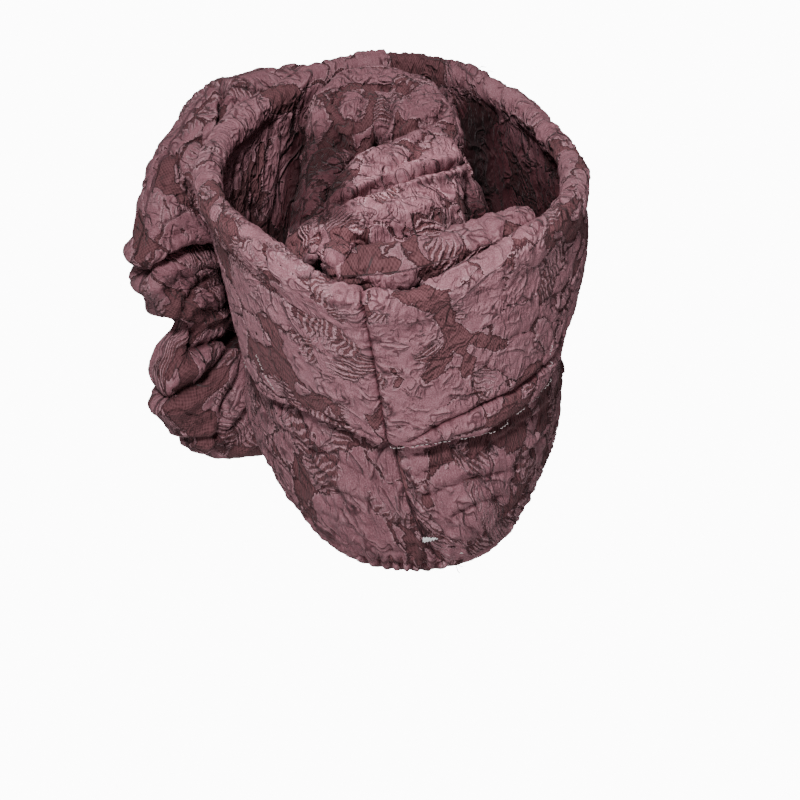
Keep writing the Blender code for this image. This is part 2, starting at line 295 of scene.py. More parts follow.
def band_wall(angle, s):
    """The middle of the band's wall, s 0 at its foot and 1 at the middle of the rim's roll."""
    foot_z, rim_z, rim_r, bulge = (around(BAND_ROWS, k, angle) for k in (1, 2, 3, 4))
    z = foot_z + (rim_z - foot_z) * s
    foot_r = cap_radius(angle, foot_z) + GAP + BAND_HALF
    r = foot_r + (rim_r - foot_r) * s + bulge * 4 * s * (1 - s)
    least = cap_radius(angle, z) + GAP + BAND_HALF + 0.3
    r = np.where(z < CROWN_Z - 20, 0.5 * (r + least + np.sqrt((r - least) ** 2 + 4)), r)
    return r, z


def band_point(angle, q):
    """Round the band's section: q 0 at the foot, up the outside, 0.5 over the roll, 1 back inside."""
    s = np.where(q < 0.45, q / 0.45, np.where(q > 0.55, (1 - q) / 0.45, 1.0))
    r, z = band_wall(angle, s)
    r2, z2 = band_wall(angle, s - 0.01)
    length = np.hypot(r - r2, z - z2)
    tr, tz = (r - r2) / length, (z - z2) / length
    outer = q <= 0.5
    # the roll grows out of the wall slowly outside and is pinched off inside
    swell = np.where(outer, np.clip((s - 0.80) / 0.20, 0, 1), np.clip((s - 0.90) / 0.10, 0, 1))
    half = BAND_HALF + (RIM_ROLL - BAND_HALF) * np.sin(swell * np.pi / 2) ** 1.5
    turn = np.clip((q - 0.45) / 0.10, 0, 1) * np.pi
    side, over = np.cos(turn), np.sin(turn)
    foot = np.clip(1 - s / 0.04, 0, 1)
    half = half * (1 - 0.25 * foot)
    return polar(angle, r + half * (side * tz + over * tr), z + half * (over * tz - side * tr))


def flower_frame():
    a = math.radians(FLOWER_TURN)
    out = np.array([-math.cos(a), math.sin(a), 0.0])
    back = np.array([-math.sin(a), -math.cos(a), 0.0])
    return out, back


def flower_point(across, up, forward):
    """A place in the rosette: across is towards the back left, forward away from the head."""
    out, back = flower_frame()
    n = FLOWER_OUT - FLOWER_WRAP * (across / 100) ** 2 + forward
    return n[..., None] * out + across[..., None] * back + up[..., None] * np.array([0, 0, 1.0]) \
        + np.array([0, 0, FLOWER_Z])


def coil_point(rows, inside, ahead, angle, section):
    """One puffed coil: section 0 is its outside edge, 90 its front, 180 its inside edge."""
    reach, puff = (around(rows, k, angle) for k in (1, 2))
    mid, half = (reach + inside) / 2, (reach - inside) / 2
    a, s = np.radians(angle), np.radians(section)
    c, w = np.cos(s), np.sin(s)
    r = mid + half * np.sign(c) * np.abs(c) ** 0.7
    return flower_point(r * np.cos(a), r * np.sin(a), ahead + puff * np.sign(w) * np.abs(w) ** 0.7)


def chain_distance(p, rows):
    """Distance from points to a run of round sections, negative inside."""
    best = None
    for a, b in zip(rows, rows[1:]):
        a, b = np.array(a, float), np.array(b, float)
        d = b[:3] - a[:3]
        t = np.clip(((p - a[:3]) @ d) / (d @ d), 0, 1)
        gap = np.linalg.norm(p - a[:3] - t[:, None] * d, axis=1) - (a[3] + (b[3] - a[3]) * t)
        best = gap if best is None else np.minimum(best, gap)
    return best


def blend(a, b, k):
    h = np.clip(0.5 + 0.5 * (b - a) / k, 0, 1)
    return b * (1 - h) + a * h - k * h * (1 - h)


def twist_distance(p):
    solid = None
    for rows in TWIST_ROLLS.values():
        d = chain_distance(p, rows)
        solid = d if solid is None else blend(solid, d, TWIST_BLEND)
    angle = np.degrees(np.arctan2(p[:, 0], -p[:, 1]))
    r = np.hypot(p[:, 0], p[:, 1])
    belly_r, belly_z = around(CAP_ROWS, 3, angle), around(CAP_ROWS, 4, angle)
    # clear of the cap's dome
    reach = np.sqrt((r / (belly_r + 2)) ** 2 + (np.maximum(p[:, 2] - belly_z, 0) / (CROWN_Z + 2 - belly_z)) ** 2)
    dome = (1 - reach) * 80
    tuck = TUCK_CLEAR - chain_distance(p, TUCK_ROWS)
    return np.maximum(np.maximum(solid, dome), tuck)


# ---------------------------------------------------------------- noise
def mixed(i, j, k, seed):
    n = (i * 374761393 + j * 668265263 + k * 2147483647 + seed * 1274126177) & 0xFFFFFFFF
    n = ((n ^ (n >> 13)) * 1274126177) & 0xFFFFFFFF
    return n ^ (n >> 16)


def chance(i, j, k):
    return (mixed(i, j, k + 0 * i, 7) & 0xFFFF) / 65536.0


def noise(p, scale, seed=0):
    """Smooth noise at points, about -0.6 to 0.6, with bumps of the given size in mm."""
    q = np.asarray(p, float) / scale
    i = np.floor(q).astype(np.int64)
    f = q - i
    w = f * f * f * (f * (f * 6 - 15) + 10)
    total = 0
    for a in (0, 1):
        for b in (0, 1):
            for c in (0, 1):
                h = mixed(i[..., 0] + a, i[..., 1] + b, i[..., 2] + c, seed)
                g = ((h & 1023) / 511.5 - 1) * (f[..., 0] - a) + (((h >> 10) & 1023) / 511.5 - 1) * (f[..., 1] - b) \
                    + (((h >> 20) & 1023) / 511.5 - 1) * (f[..., 2] - c)
                total = total + g * (w[..., 0] if a else 1 - w[..., 0]) * (w[..., 1] if b else 1 - w[..., 1]) \
                    * (w[..., 2] if c else 1 - w[..., 2])
    return total * 1.2


def smooth(lo, hi, x):
    t = np.clip((x - lo) / (hi - lo), 0, 1)
    return t * t * (3 - 2 * t)


def flat_noise(u, v, scale, seed):
    return noise(np.stack([u, v, 0 * u + 0.37 * scale], -1), scale, seed)


def crumple(p, seed, size=1.0):
    """Puffs with sharp little creases between them, as in crinkled cloth, about -1 to 1."""
    warp = np.stack([noise(p, 11 * size, seed + 1), noise(p, 11 * size, seed + 2), noise(p, 11 * size, seed + 3)], -1)
    q = p + 6.0 * size * warp
    a = 5.0 * np.minimum(np.abs(noise(q, 13 * size, seed + 4)), 0.4) - 1
    b = 5.0 * np.minimum(np.abs(noise(q, 7.5 * size, seed + 5)), 0.4) - 1
    c = 1 - 5.0 * np.abs(noise(q, 4.4 * size, seed + 6))
    return np.clip(0.55 * a + 0.42 * b + 0.28 * c, -1.4, 1.4)


def wrinkles(u, v, seed, pitch=4.6):
    """Long thin wrinkles of the slack cloth, in a few directions that take turns, about -1 to 1."""
    uu = u + 5 * flat_noise(u, v, 19, seed + 1) + 1.6 * flat_noise(u, v, 7, seed + 2)
    vv = v + 5 * flat_noise(u, v, 19, seed + 3) + 1.6 * flat_noise(u, v, 7, seed + 4)
    total, weight = 0, 0.25
    for k, turn in enumerate((0.35, 1.4, 2.5)):
        across = uu * math.cos(turn) + vv * math.sin(turn)
        ahead = vv * math.cos(turn) - uu * math.sin(turn)
        ridge = 1 - 5.5 * np.abs(flat_noise(across, ahead * 0.24, pitch, seed + 5 + k))
        share = np.clip(0.35 + 1.9 * flat_noise(u + 50 * k, v, 34, seed + 9), 0, 1)
        total, weight = total + share * np.clip(ridge, -1.2, 1), weight + share
    return total / weight


# ---------------------------------------------------------------- the woven pattern
def pattern(u, v, seed, cell=23.0):
    """The jacquard at places u, v of the flat cloth, in mm: distance inside the raised figure, grooves
    between petals, each petal's own tone, and the strokes cut into it: their count and how wide they are."""
    wu = u + 8 * flat_noise(u, v, 26, seed + 1) + 3.6 * flat_noise(u, v, 10, seed + 2) + 1.5 * flat_noise(u, v, 4.2, seed + 5)
    wv = v + 8 * flat_noise(u, v, 26, seed + 3) + 3.6 * flat_noise(u, v, 10, seed + 4) + 1.5 * flat_noise(u, v, 4.2, seed + 6)
    bare = np.full(u.shape, 99.0)
    first = np.full(u.shape, 99.0)
    second = np.full(u.shape, 99.0)
    names = ("luck", "luck2", "lx", "ly", "dx", "dy")
    best = {name: np.zeros(u.shape) for name in names}
    ci0, cj0 = np.floor(wu / cell).astype(np.int64), np.floor(wv / cell).astype(np.int64)
    for di in (-2, -1, 0, 1, 2):
        for dj in (-2, -1, 0, 1, 2):
            ci, cj = ci0 + di, cj0 + dj
            luck = [chance(ci, cj, seed * 31 + k) for k in range(8)]
            dx = wu - (ci + 0.5 + 0.85 * (luck[0] - 0.5)) * cell
            dy = wv - (cj + 0.5 + 0.85 * (luck[1] - 0.5)) * cell
            t = luck[2] * np.pi
            long = 1.0 + 0.5 * luck[3]
            lx, ly = (dx * np.cos(t) + dy * np.sin(t)) / long, (dy * np.cos(t) - dx * np.sin(t)) * long ** 0.7
            petals = 4 + np.floor(luck[4] * 4)
            r = np.hypot(lx, ly) - 5 * (luck[5] - 0.5) + 1.5 * np.cos(petals * np.arctan2(ly, lx + 0.01) + 6 * luck[4]) * smooth(3, 9, np.hypot(lx, ly))
            empty = luck[6] < 0.25
            bare = np.minimum(bare, np.where(empty, r, 99.0))
            r = np.where(empty, 99.0, r)
            better = r < first
            second = np.where(better, first, np.minimum(second, r))
            for name, value in zip(names, (luck[7], luck[4], lx, ly, dx, dy)):
                best[name] = np.where(better, value, best[name])
            first = np.where(better, r, first)
    figure = (bare - first) * 0.55
    border = (second - first) * 0.5
    luck, luck2 = best["luck"], best["luck2"]
    apart = (luck * 5.77) % 1.0
    figure = np.where(apart < 0.60, np.minimum(figure, border - 0.85 + 0.9 * flat_noise(u, v, 9, seed + 8)), figure)
    groove = np.clip(1 - border / 0.8, 0, 1) * (apart > 0.60) * (figure > 0.2)
    # strokes cut in from a petal's edge, all one way
    t = luck2 * 6.283
    fan = (best["dy"] * np.cos(t) - best["dx"] * np.sin(t)) / 3.0 + 0.012 * best["lx"] * best["ly"] / 3.0 + 1000
    along = best["dx"] * np.cos(t) + best["dy"] * np.sin(t)
    kind = (luck * 7.31) % 1.0
    reach = 5 + 9 * ((luck * 41) % 1)
    cut = np.where(kind < 0.40, 0.62 * smooth(reach, 0.5, figure) * smooth(-7, 3, along), 0.0)
    tone = luck2 * 2 - 1
    # a few small holes
    small = 13.0
    ci, cj = np.floor(wu / small).astype(np.int64), np.floor(wv / small).astype(np.int64)
    luck = [chance(ci, cj, seed * 31 + 40 + k) for k in range(5)]
    dx = wu - (ci + 0.3 + 0.4 * luck[0]) * small
    dy = wv - (cj + 0.3 + 0.4 * luck[1]) * small
    t = luck[2] * np.pi
    hole = np.hypot((dx * np.cos(t) + dy * np.sin(t)) * (0.5 + 0.3 * luck[4]), (dy * np.cos(t) - dx * np.sin(t)) * 1.3) - 1.3
    figure = np.where(luck[3] < 0.20, np.minimum(figure, hole), figure)
    # leaves and feathers on the bare ground
    cell2 = 19.0
    leaf, leaf_fan, leaf_cut = np.full(u.shape, -99.0), np.zeros(u.shape), np.zeros(u.shape)
    ci0, cj0 = np.floor(wu / cell2).astype(np.int64), np.floor(wv / cell2).astype(np.int64)
    for di in (-1, 0, 1):
        for dj in (-1, 0, 1):
            ci, cj = ci0 + di, cj0 + dj
            luck = [chance(ci, cj, seed * 31 + 20 + k) for k in range(8)]
            dx = wu - (ci + 0.5 + 0.6 * (luck[0] - 0.5)) * cell2
            dy = wv - (cj + 0.5 + 0.6 * (luck[1] - 0.5)) * cell2
            t = luck[2] * 6.283
            lx, ly = dx * np.cos(t) + dy * np.sin(t), dy * np.cos(t) - dx * np.sin(t)
            long, broad = 6 + 5 * luck[3], 2.6 + 2.2 * luck[4]
            ly = ly + 0.03 * lx ** 2 * (luck[5] - 0.5)
            d = (broad * (1 - (lx / long) ** 2) - np.abs(ly)) * 0.8 - np.where(luck[7] < 0.5, 30, 0)
            better = d > leaf
            leaf_fan = np.where(better, ly / 2.9 + 2000, leaf_fan)
            leaf_cut = np.where(better, np.where(luck[6] > 0.55, 0.58 * smooth(-long, 0.3 * long, lx), 0.0), leaf_cut)
            leaf = np.where(better, d, leaf)
    leaf = np.minimum(leaf, -figure - 1.2)
    wins = leaf > figure
    return (np.where(wins, leaf, figure), np.where(wins, 0.0, groove), tone,
            np.where(wins, leaf_fan, fan), np.where(wins, leaf_cut, cut))


# ---------------------------------------------------------------- meshes
def grid_normals(p, closed_rows=False, closed_cols=False):
    """Normals of a grid of points, rows along the first axis."""
    def step(axis, closed):
        if closed:
            return np.roll(p, -1, axis) - np.roll(p, 1, axis)
        return np.gradient(p, axis=axis)
    n = np.cross(step(0, closed_rows), step(1, closed_cols))
    return n / np.maximum(np.linalg.norm(n, axis=-1, keepdims=True), 1e-9)


def cloth(name, verts, faces, uv, relief, stands_for=(), material=None):
    """A piece of the jacquard: uv is the place in the flat cloth in mm, relief a dict of vertex numbers."""
    mesh = bpy.data.meshes.new(name)
    verts = np.ascontiguousarray(verts, dtype=np.float32) * 0.001
    faces = np.asarray(faces, dtype=np.int32)
    mesh.vertices.add(len(verts))
    mesh.vertices.foreach_set("co", verts.ravel())
    corners = faces.shape[1]
    mesh.loops.add(faces.size)
    mesh.loops.foreach_set("vertex_index", faces.ravel())
    mesh.polygons.add(len(faces))
    mesh.polygons.foreach_set("loop_start", np.arange(0, faces.size, corners, dtype=np.int32))
    mesh.polygons.foreach_set("loop_total", np.full(len(faces), corners, dtype=np.int32))
    mesh.polygons.foreach_set("use_smooth", np.ones(len(faces), dtype=bool))
    mesh.update(calc_edges=True)
    place = mesh.attributes.new("weave_place", "FLOAT_VECTOR", "POINT")
    place.data.foreach_set("vector", np.column_stack([uv[0].ravel(), uv[1].ravel(), 0 * uv[0].ravel()]).astype(np.float32).ravel())
    for key, value in relief.items():
        layer = mesh.attributes.new(key, "FLOAT", "POINT")
        layer.data.foreach_set("value", np.asarray(value, dtype=np.float32).ravel())
    piece = bpy.data.objects.new(name, mesh)
    bpy.context.scene.collection.objects.link(piece)
    mesh.materials.append(material or JACQUARD)
    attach(piece, "root")
    if stands_for:
        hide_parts(*stands_for)
    return piece


def grid_faces(rows, cols, closed_rows=False, closed_cols=False, flip=False):
    i = np.arange(rows if closed_rows else rows - 1)
    j = np.arange(cols if closed_cols else cols - 1)
    i, j = np.meshgrid(i, j, indexing="ij")
    i2, j2 = (i + 1) % rows, (j + 1) % cols
    f = np.stack([i * cols + j, i2 * cols + j, i2 * cols + j2, i * cols + j2], -1).reshape(-1, 4)
    return f[:, ::-1] if flip else f


def dressed(p, n, uv, seed, crinkle=0.30, rise=1.0, wrinkle=0.34, painted_shading=0.0, seam=0.0, spots=(), calm=1.0, cell=23.0, bare=None, petal=None):
    """Moves the surface p along its normals n into the jacquard's relief. spots are bare patches: centre,
    another point along it, and half-breadth; a half-breadth below zero makes a round petal instead."""
    d, groove, tone, fan, cut = pattern(uv[0], uv[1], seed, cell)
    for a, b, broad in spots:
        a, b = np.array(a, float), np.array(b, float)
        if broad < 0:
            away = np.linalg.norm(p - a, axis=-1) + 6 * noise(p, 12, seed + 62) + 2.2 * noise(p, 4, seed + 63)
            d = np.maximum(d, -broad - away)
            continue
        t = np.clip((p - a) @ (b - a) / max((b - a) @ (b - a), 1e-6), 0, 1)
        away = np.linalg.norm(p - a - t[..., None] * (b - a), axis=-1) + 5.5 * noise(p, 9, seed + 60) + 2.2 * noise(p, 4, seed + 61)
        d = np.minimum(d, away - broad)
        cut = np.where(away < broad + 7, 0.6 * cut, cut)
    if bare is not None:
        d = np.maximum(np.minimum(d, bare), petal)
    saw = 2 * np.abs(fan - np.floor(fan) - 0.5)
    stroke = smooth(cut - 0.3, cut + 0.3, saw) * (cut > 0.04) + (cut <= 0.04)
    figure = smooth(-0.7, 0.8, d)
    puffs = crumple(p, seed * 7 + 1)
    thin = wrinkles(uv[0], uv[1], seed * 5 + 2)
    lift = rise * (figure * (0.4 + 0.6 * stroke) - 0.6) - 0.6 * groove + calm * (crinkle * puffs + wrinkle * thin) * (0.15 + 0.85 * figure)
    # the seam marks join the grooves as dark seam lines and painted shade in fold creases; the shading attribute
    # carries painted shade above zero and painted highlight below zero
    return p + n * lift[..., None], {"figure": d, "groove": np.minimum(groove, 1.2) + 1.6 * seam, "tone": tone, "fan": fan, "cut": cut,
                                     "crease": 0.45 * puffs + 0.75 * thin, "painted_shading": painted_shading + 0 * d}


# ---------------------------------------------------------------- materials
def node(tree, kind, place, **values):
    n = tree.nodes.new(kind)
    n.location = place
    for key, value in values.items():
        if key in ("operation", "blend_type", "data_type", "attribute_name", "interpolation_type", "noise_dimensions", "clamp", "feature", "use_clamp"):
            setattr(n, key, value)
        else:
            n.inputs[key.replace("_", " ")].default_value = value
    return n


def math_node(tree, operation, a, b=None, c=None, clamp=False):
    n = tree.nodes.new("ShaderNodeMath")
    n.operation = operation
    n.use_clamp = clamp
    for i, x in enumerate((a, b, c)):
        if x is None:
            continue
        if isinstance(x, (int, float)):
            n.inputs[i].default_value = x
        else:
            tree.links.new(x, n.inputs[i])
    return n.outputs[0]


def mix_colour(tree, factor, a, b, blend="MIX"):
    n = tree.nodes.new("ShaderNodeMix")
    n.data_type = "RGBA"
    n.blend_type = blend
    for socket, x in ((n.inputs[0], factor), (n.inputs[6], a), (n.inputs[7], b)):
        if isinstance(x, (int, float)):
            socket.default_value = x
        elif isinstance(x, tuple):
            socket.default_value = (*x, 1)
        else:
            tree.links.new(x, socket)
    return n.outputs[2]


def step_node(tree, x, lo, hi):
    n = tree.nodes.new("ShaderNodeMapRange")
    n.interpolation_type = "SMOOTHSTEP"
    n.inputs["From Min"].default_value = lo
    n.inputs["From Max"].default_value = hi
    tree.links.new(x, n.inputs["Value"])
    return n.outputs[0]


def attribute(tree, name):
    n = tree.nodes.new("ShaderNodeAttribute")
    n.attribute_name = name
    return n


FIGURE = (0.285, 0.121, 0.148)
FIGURE_PALE = (0.580, 0.335, 0.378)
FIGURE_DEEP = (0.110, 0.032, 0.043)
GROUND = (0.111, 0.040, 0.047)
GROUND_NET = (0.168, 0.068, 0.077)
SHADOW = (0.045, 0.010, 0.015)
# painted light and shade laid over the cloth by the shading attribute: a painted highlight tint, a near-black painted
# deepest shade, and the painted shade tint below
PAINTED_HIGHLIGHT_TINT = (1.9, 1.9, 1.9)
PAINTED_DEEP_SHADE = (0.010, 0.003, 0.004)
PAINTED_SHADE_TINT = (0.17, 0.075, 0.09)          # the cloth deep in the wells is this much darker


def noise_node(tree, where, scale, detail=2.0, distortion=0.0, kind=None, roughness=0.5):
    n = tree.nodes.new("ShaderNodeTexNoise")
    if kind:
        n.noise_type = kind
    n.inputs["Scale"].default_value = scale
    n.inputs["Detail"].default_value = detail
    n.inputs["Roughness"].default_value = roughness
    n.inputs["Distortion"].default_value = distortion
    tree.links.new(where, n.inputs["Vector"])
    return n.outputs[0]


def jacquard(name):
    made = bpy.data.materials.new(name)
    made.use_nodes = True
    tree = made.node_tree
    shader = tree.nodes["Principled BSDF"]

    def do(operation, *values, clamp=False):
        return math_node(tree, operation, *values, clamp=clamp)
    figure, groove, tone, fan, cut, crease, painted_shading = (attribute(tree, key).outputs["Fac"] for key in
                                                     ("figure", "groove", "tone", "fan", "cut", "crease", "painted_shading"))
    place = attribute(tree, "weave_place").outputs["Vector"]
    split = tree.nodes.new("ShaderNodeSeparateXYZ")
    tree.links.new(place, split.inputs[0])
    u, v = split.outputs[0], split.outputs[1]
    # frayed outlines: they wander by a few threads
    fray = do("SUBTRACT", noise_node(tree, place, 0.75, 2.0), 0.5)
    edge = do("ADD", figure, do("MULTIPLY", fray, 2.2))
    # strokes cut into the petals
    saw = do("MULTIPLY", do("ABSOLUTE", do("SUBTRACT", do("FRACT", do("ADD", fan, do("MULTIPLY", fray, 0.5))), 0.5)), 2.0)
    stroke = do("ADD", do("SUBTRACT", saw, do("SUBTRACT", do("MULTIPLY", cut, 1.15), 0.08)), do("MULTIPLY", do("LESS_THAN", cut, 0.05), 3.0))
    inside = do("MINIMUM", edge, do("MULTIPLY", stroke, 1.3))
    mask = step_node(tree, inside, -0.16, 0.16)
    # ground: a net with small dark holes on a slanting lattice
    a = do("COSINE", do("MULTIPLY", do("ADD", u, do("MULTIPLY", v, 0.58)), 3.9))
    b = do("COSINE", do("MULTIPLY", do("SUBTRACT", u, do("MULTIPLY", v, 0.58)), 3.9))
    net = step_node(tree, do("MULTIPLY", do("ADD", a, b), 0.5), 0.75, -0.45)
    ground = mix_colour(tree, net, GROUND, GROUND_NET)
    # figure: crinkles of the slack weft, with a small painted highlight on their crests
    warp = tree.nodes.new("ShaderNodeMapping")
    warp.inputs["Scale"].default_value = (1.0, 0.42, 1.0)
    warp.inputs["Rotation"].default_value = (0, 0, 0.6)
    tree.links.new(place, warp.inputs["Vector"])
    wrinkle = noise_node(tree, warp.outputs[0], 0.34, 4.0, 1.6, roughness=0.62)
    threads = noise_node(tree, warp.outputs[0], 1.5, 3.0, 0.8, roughness=0.7)
    clouds = noise_node(tree, place, 0.03, 2.0)
    # long sharp creases, broken off here and there, and the valley each lies in: the valley is only a bump, the crease
    # line is painted dark as painted shade and the shoulders beside it get a painted highlight
    painted_crease_shade, valley, lit_shoulder = None, None, None
    for scale, wide, gate in ((0.042, 0.016, 0.045), (0.085, 0.028, 0.07)):
        run = do("ABSOLUTE", do("SUBTRACT", noise_node(tree, place, scale, 1.2, 0.9), 0.5))
        gated = step_node(tree, noise_node(tree, place, gate, 2.0), 0.48, 0.56)
        line = do("MULTIPLY", step_node(tree, run, wide, 0.25 * wide), gated)
        beside = do("MULTIPLY", do("MULTIPLY", step_node(tree, run, 3.6 * wide, 1.7 * wide), step_node(tree, run, 0.9 * wide, 1.5 * wide)), gated)
        low = do("MULTIPLY", do("SUBTRACT", 1.0, do("MINIMUM", do("DIVIDE", run, 3.5 * wide), 1.0)), do("MULTIPLY", gated, 0.30 + 0.045 / scale))
        painted_crease_shade = line if painted_crease_shade is None else do("MAXIMUM", painted_crease_shade, line)
        valley = low if valley is None else do("ADD", valley, low)
        lit_shoulder = beside if lit_shoulder is None else do("MAXIMUM", lit_shoulder, beside)
    for scale, wide, gate, share in ((0.17, 0.050, 0.05, 0.75), (0.30, 0.075, 0.09, 0.55)):
        run = do("ABSOLUTE", do("SUBTRACT", noise_node(tree, warp.outputs[0], scale, 1.5, 1.0), 0.5))
        low = do("MULTIPLY", do("SUBTRACT", 1.0, do("MINIMUM", do("DIVIDE", run, 3.0 * wide), 1.0)),
                 do("MULTIPLY", step_node(tree, noise_node(tree, place, gate, 1.0), 0.36, 0.60), share))
        valley = do("ADD", valley, low)
    fibre = noise_node(tree, place, 1.5, 3.0, 0.0, roughness=0.9)
    # the crinkles' crests: a bump, and a small painted highlight in the colour
    lit_crest = do("SUBTRACT", 0.5, do("MULTIPLY", do("ABSOLUTE", do("SUBTRACT", wrinkle, 0.5)), 5.0))
    # the figure's tone: each petal's own tone, threads, fibre and clouds, plus painted light and shade that follow the
    # cloth's puffs and wrinkles and the crinkles' crests
    level = do("ADD", do("MULTIPLY", tone, 0.04),
               do("ADD", do("MULTIPLY", crease, 0.13),
                  do("ADD", do("MULTIPLY", lit_crest, 0.03),
                     do("ADD", do("ADD", do("MULTIPLY", do("SUBTRACT", threads, 0.5), 0.22), do("MULTIPLY", do("SUBTRACT", fibre, 0.5), 3.0)), do("MULTIPLY", do("SUBTRACT", clouds, 0.5), 0.20)))))
    up = do("MAXIMUM", level, 0.0, clamp=True)
    down = do("MAXIMUM", do("MULTIPLY", level, -1.0), 0.0, clamp=True)
    figure_colour = mix_colour(tree, down, mix_colour(tree, up, FIGURE, FIGURE_PALE), FIGURE_DEEP)
    # painted highlight on the shoulders beside the creases
    figure_colour = mix_colour(tree, do("MULTIPLY", lit_shoulder, 0.20), figure_colour, FIGURE_PALE)
    # pale frayed lip just inside the outline, partly the weft's pale fringe and partly a painted edge highlight; a
    # painted shadow just outside it
    pale_fringe_and_highlight = do("MULTIPLY", do("MULTIPLY", step_node(tree, inside, 0.85, 0.3), step_node(tree, fibre, 0.36, 0.58)), 0.90)
    figure_colour = mix_colour(tree, pale_fringe_and_highlight, figure_colour, FIGURE_PALE)
    colour = mix_colour(tree, mask, ground, figure_colour)
    outer = do("MULTIPLY", do("MULTIPLY", step_node(tree, edge, -0.9, -0.15), do("MULTIPLY", step_node(tree, edge, 0.5, 0.1), do("SUBTRACT", 1.0, mask))), 0.75)
    colour = mix_colour(tree, outer, colour, SHADOW)
    # painted shade in the grooves between petals and along the fold creases, and the dark seam lines
    colour = mix_colour(tree, do("MULTIPLY", step_node(tree, groove, 0.2, 1.6), 0.95), colour, FIGURE_DEEP)
    # painted shade in the deepest valleys of the crinkle
    deep = do("MULTIPLY", step_node(tree, crease, -0.45, -1.1), do("MULTIPLY", mask, 0.40))
    colour = mix_colour(tree, deep, colour, SHADOW)
    # the sharp creases painted dark: painted shade
    colour = mix_colour(tree, do("MULTIPLY", painted_crease_shade, do("ADD", do("MULTIPLY", mask, 0.58), 0.10)), colour, SHADOW)
    # painted shade and highlight: from 0 to 1 the colour darkens as painted shade, above 1 it goes towards near-black
    # painted shade, below 0 it lightens as a painted highlight
    colour = mix_colour(tree, do("MULTIPLY", painted_shading, 1.0, clamp=True), colour, mix_colour(tree, 1.0, colour, PAINTED_SHADE_TINT, "MULTIPLY"))
    colour = mix_colour(tree, do("SUBTRACT", painted_shading, 1.0, clamp=True), colour, PAINTED_DEEP_SHADE)
    colour = mix_colour(tree, do("MULTIPLY", painted_shading, -1.0, clamp=True), colour, mix_colour(tree, 1.0, colour, PAINTED_HIGHLIGHT_TINT, "MULTIPLY"))
    tree.links.new(colour, shader.inputs["Base Color"])
    tree.links.new(do("ADD", do("MULTIPLY", mask, -0.16), 0.80), shader.inputs["Roughness"])
    shader.inputs["Sheen Weight"].default_value = 0.05
    shader.inputs["Sheen Roughness"].default_value = 0.4
    shader.inputs["Sheen Tint"].default_value = (0.85, 0.68, 0.72, 1)
    shader.inputs["Specular IOR Level"].default_value = 0.25
    # relief finer than the mesh
    fine = do("ADD", do("MULTIPLY", lit_crest, 0.00008), do("ADD", do("MULTIPLY", threads, 0.00012), do("MULTIPLY", fibre, 0.00034)))
    lipped = do("MULTIPLY", step_node(tree, inside, -0.35, 0.55), 0.00100)
    height = do("ADD", do("SUBTRACT", lipped, do("MULTIPLY", valley, 0.0016)), do("ADD", do("MULTIPLY", mask, fine), do("MULTIPLY", do("SUBTRACT", 1.0, mask), do("MULTIPLY", net, 0.00018))))
    bump = tree.nodes.new("ShaderNodeBump")
    bump.inputs["Strength"].default_value = 1.0
    bump.inputs["Distance"].default_value = 1.0
    tree.links.new(height, bump.inputs["Height"])
    tree.links.new(bump.outputs[0], shader.inputs["Normal"])
    return made


def plain(name, colour, roughness, grain_size=900.0):
    """White thread and backing: a matte fibre with a little unevenness."""
    made = bpy.data.materials.new(name)
    made.use_nodes = True
    tree = made.node_tree
    shader = tree.nodes["Principled BSDF"]
    shader.inputs["Roughness"].default_value = roughness
    spots = tree.nodes.new("ShaderNodeTexNoise")
    spots.inputs["Scale"].default_value = grain_size
    where = tree.nodes.new("ShaderNodeTexCoord")
    tree.links.new(where.outputs["Object"], spots.inputs["Vector"])
    tree.links.new(mix_colour(tree, spots.outputs[0], tuple(c * 0.82 for c in colour), colour), shader.inputs["Base Color"])
    bump = tree.nodes.new("ShaderNodeBump")
    bump.inputs["Strength"].default_value = 0.4
    bump.inputs["Distance"].default_value = 0.0002
    tree.links.new(spots.outputs[0], bump.inputs["Height"])
    tree.links.new(bump.outputs[0], shader.inputs["Normal"])
    return made


JACQUARD = jacquard("jacquard")
THREAD = plain("white_thread", (0.64, 0.57, 0.57), 0.7)
BACKING = plain("white_backing", (0.80, 0.79, 0.80), 0.8)

# ---------------------------------------------------------------- seams and folds
BAND_SEAM = ((0.0, -5.0), (1.0, -10.3))          # (s up the band, angle)
# folds of the band near its foot at the right: angle, height of the pleat's crease, of the stitching
FOOT_ROWS = (
    # angle, crease_z, stitch_z, puff
    (-5, 30, 29, 0),
    (2, 33, 30.2, 1.0),
    (12, 43, 32, 2.6),
    (24, 50, 34, 3.6),
    (30, 53, 36.5, 3.8),
    (36, 55, 41, 3.6),
    (44, 59, 45.5, 3.2),
    (51, 64, 51, 2.4),
    (64, 74, 63, 1.4),
    (76, 86, 76, 0.5),
    (84, 90, 82, 0),
)


# bare patches of the ground: from point, to point, half-breadth
BAND_BARE = (
    ((-24, -109, 66), (-24, -109, 66), -22.0),
    ((-50, -98, 72), (-50, -98, 72), -18.0),
    ((-1, -113, 87), (-1, -113, 87), -19.0),
    ((-8, -120, 108), (-8, -120, 108), -11.0),
    ((-30, -116, 112), (-30, -116, 112), -13.0),
    ((32, -110, 107), (32, -110, 107), -13.0),
    ((-37, -107, 90), (-37, -107, 90), -22.0),
    ((4, -108, 52), (4, -108, 52), -15.0),
    ((2, -119, 116), (17, -117, 107), 7.5),
    ((17, -117, 106), (29, -106, 88), 6.2),
    ((29, -106, 88), (52, -92, 82), 3.2),
    ((29, -106, 88), (37, -103, 66), 4.0),
)
SEAM_HEIGHTS = (-50, -45, -38, -23, -12, 0, 13, 24, 131)
SEAM_ANGLES = (21.0, 18.9, 14.2, 6.8, 3.7, 1.0, -1.1, -2.5, -4.0)
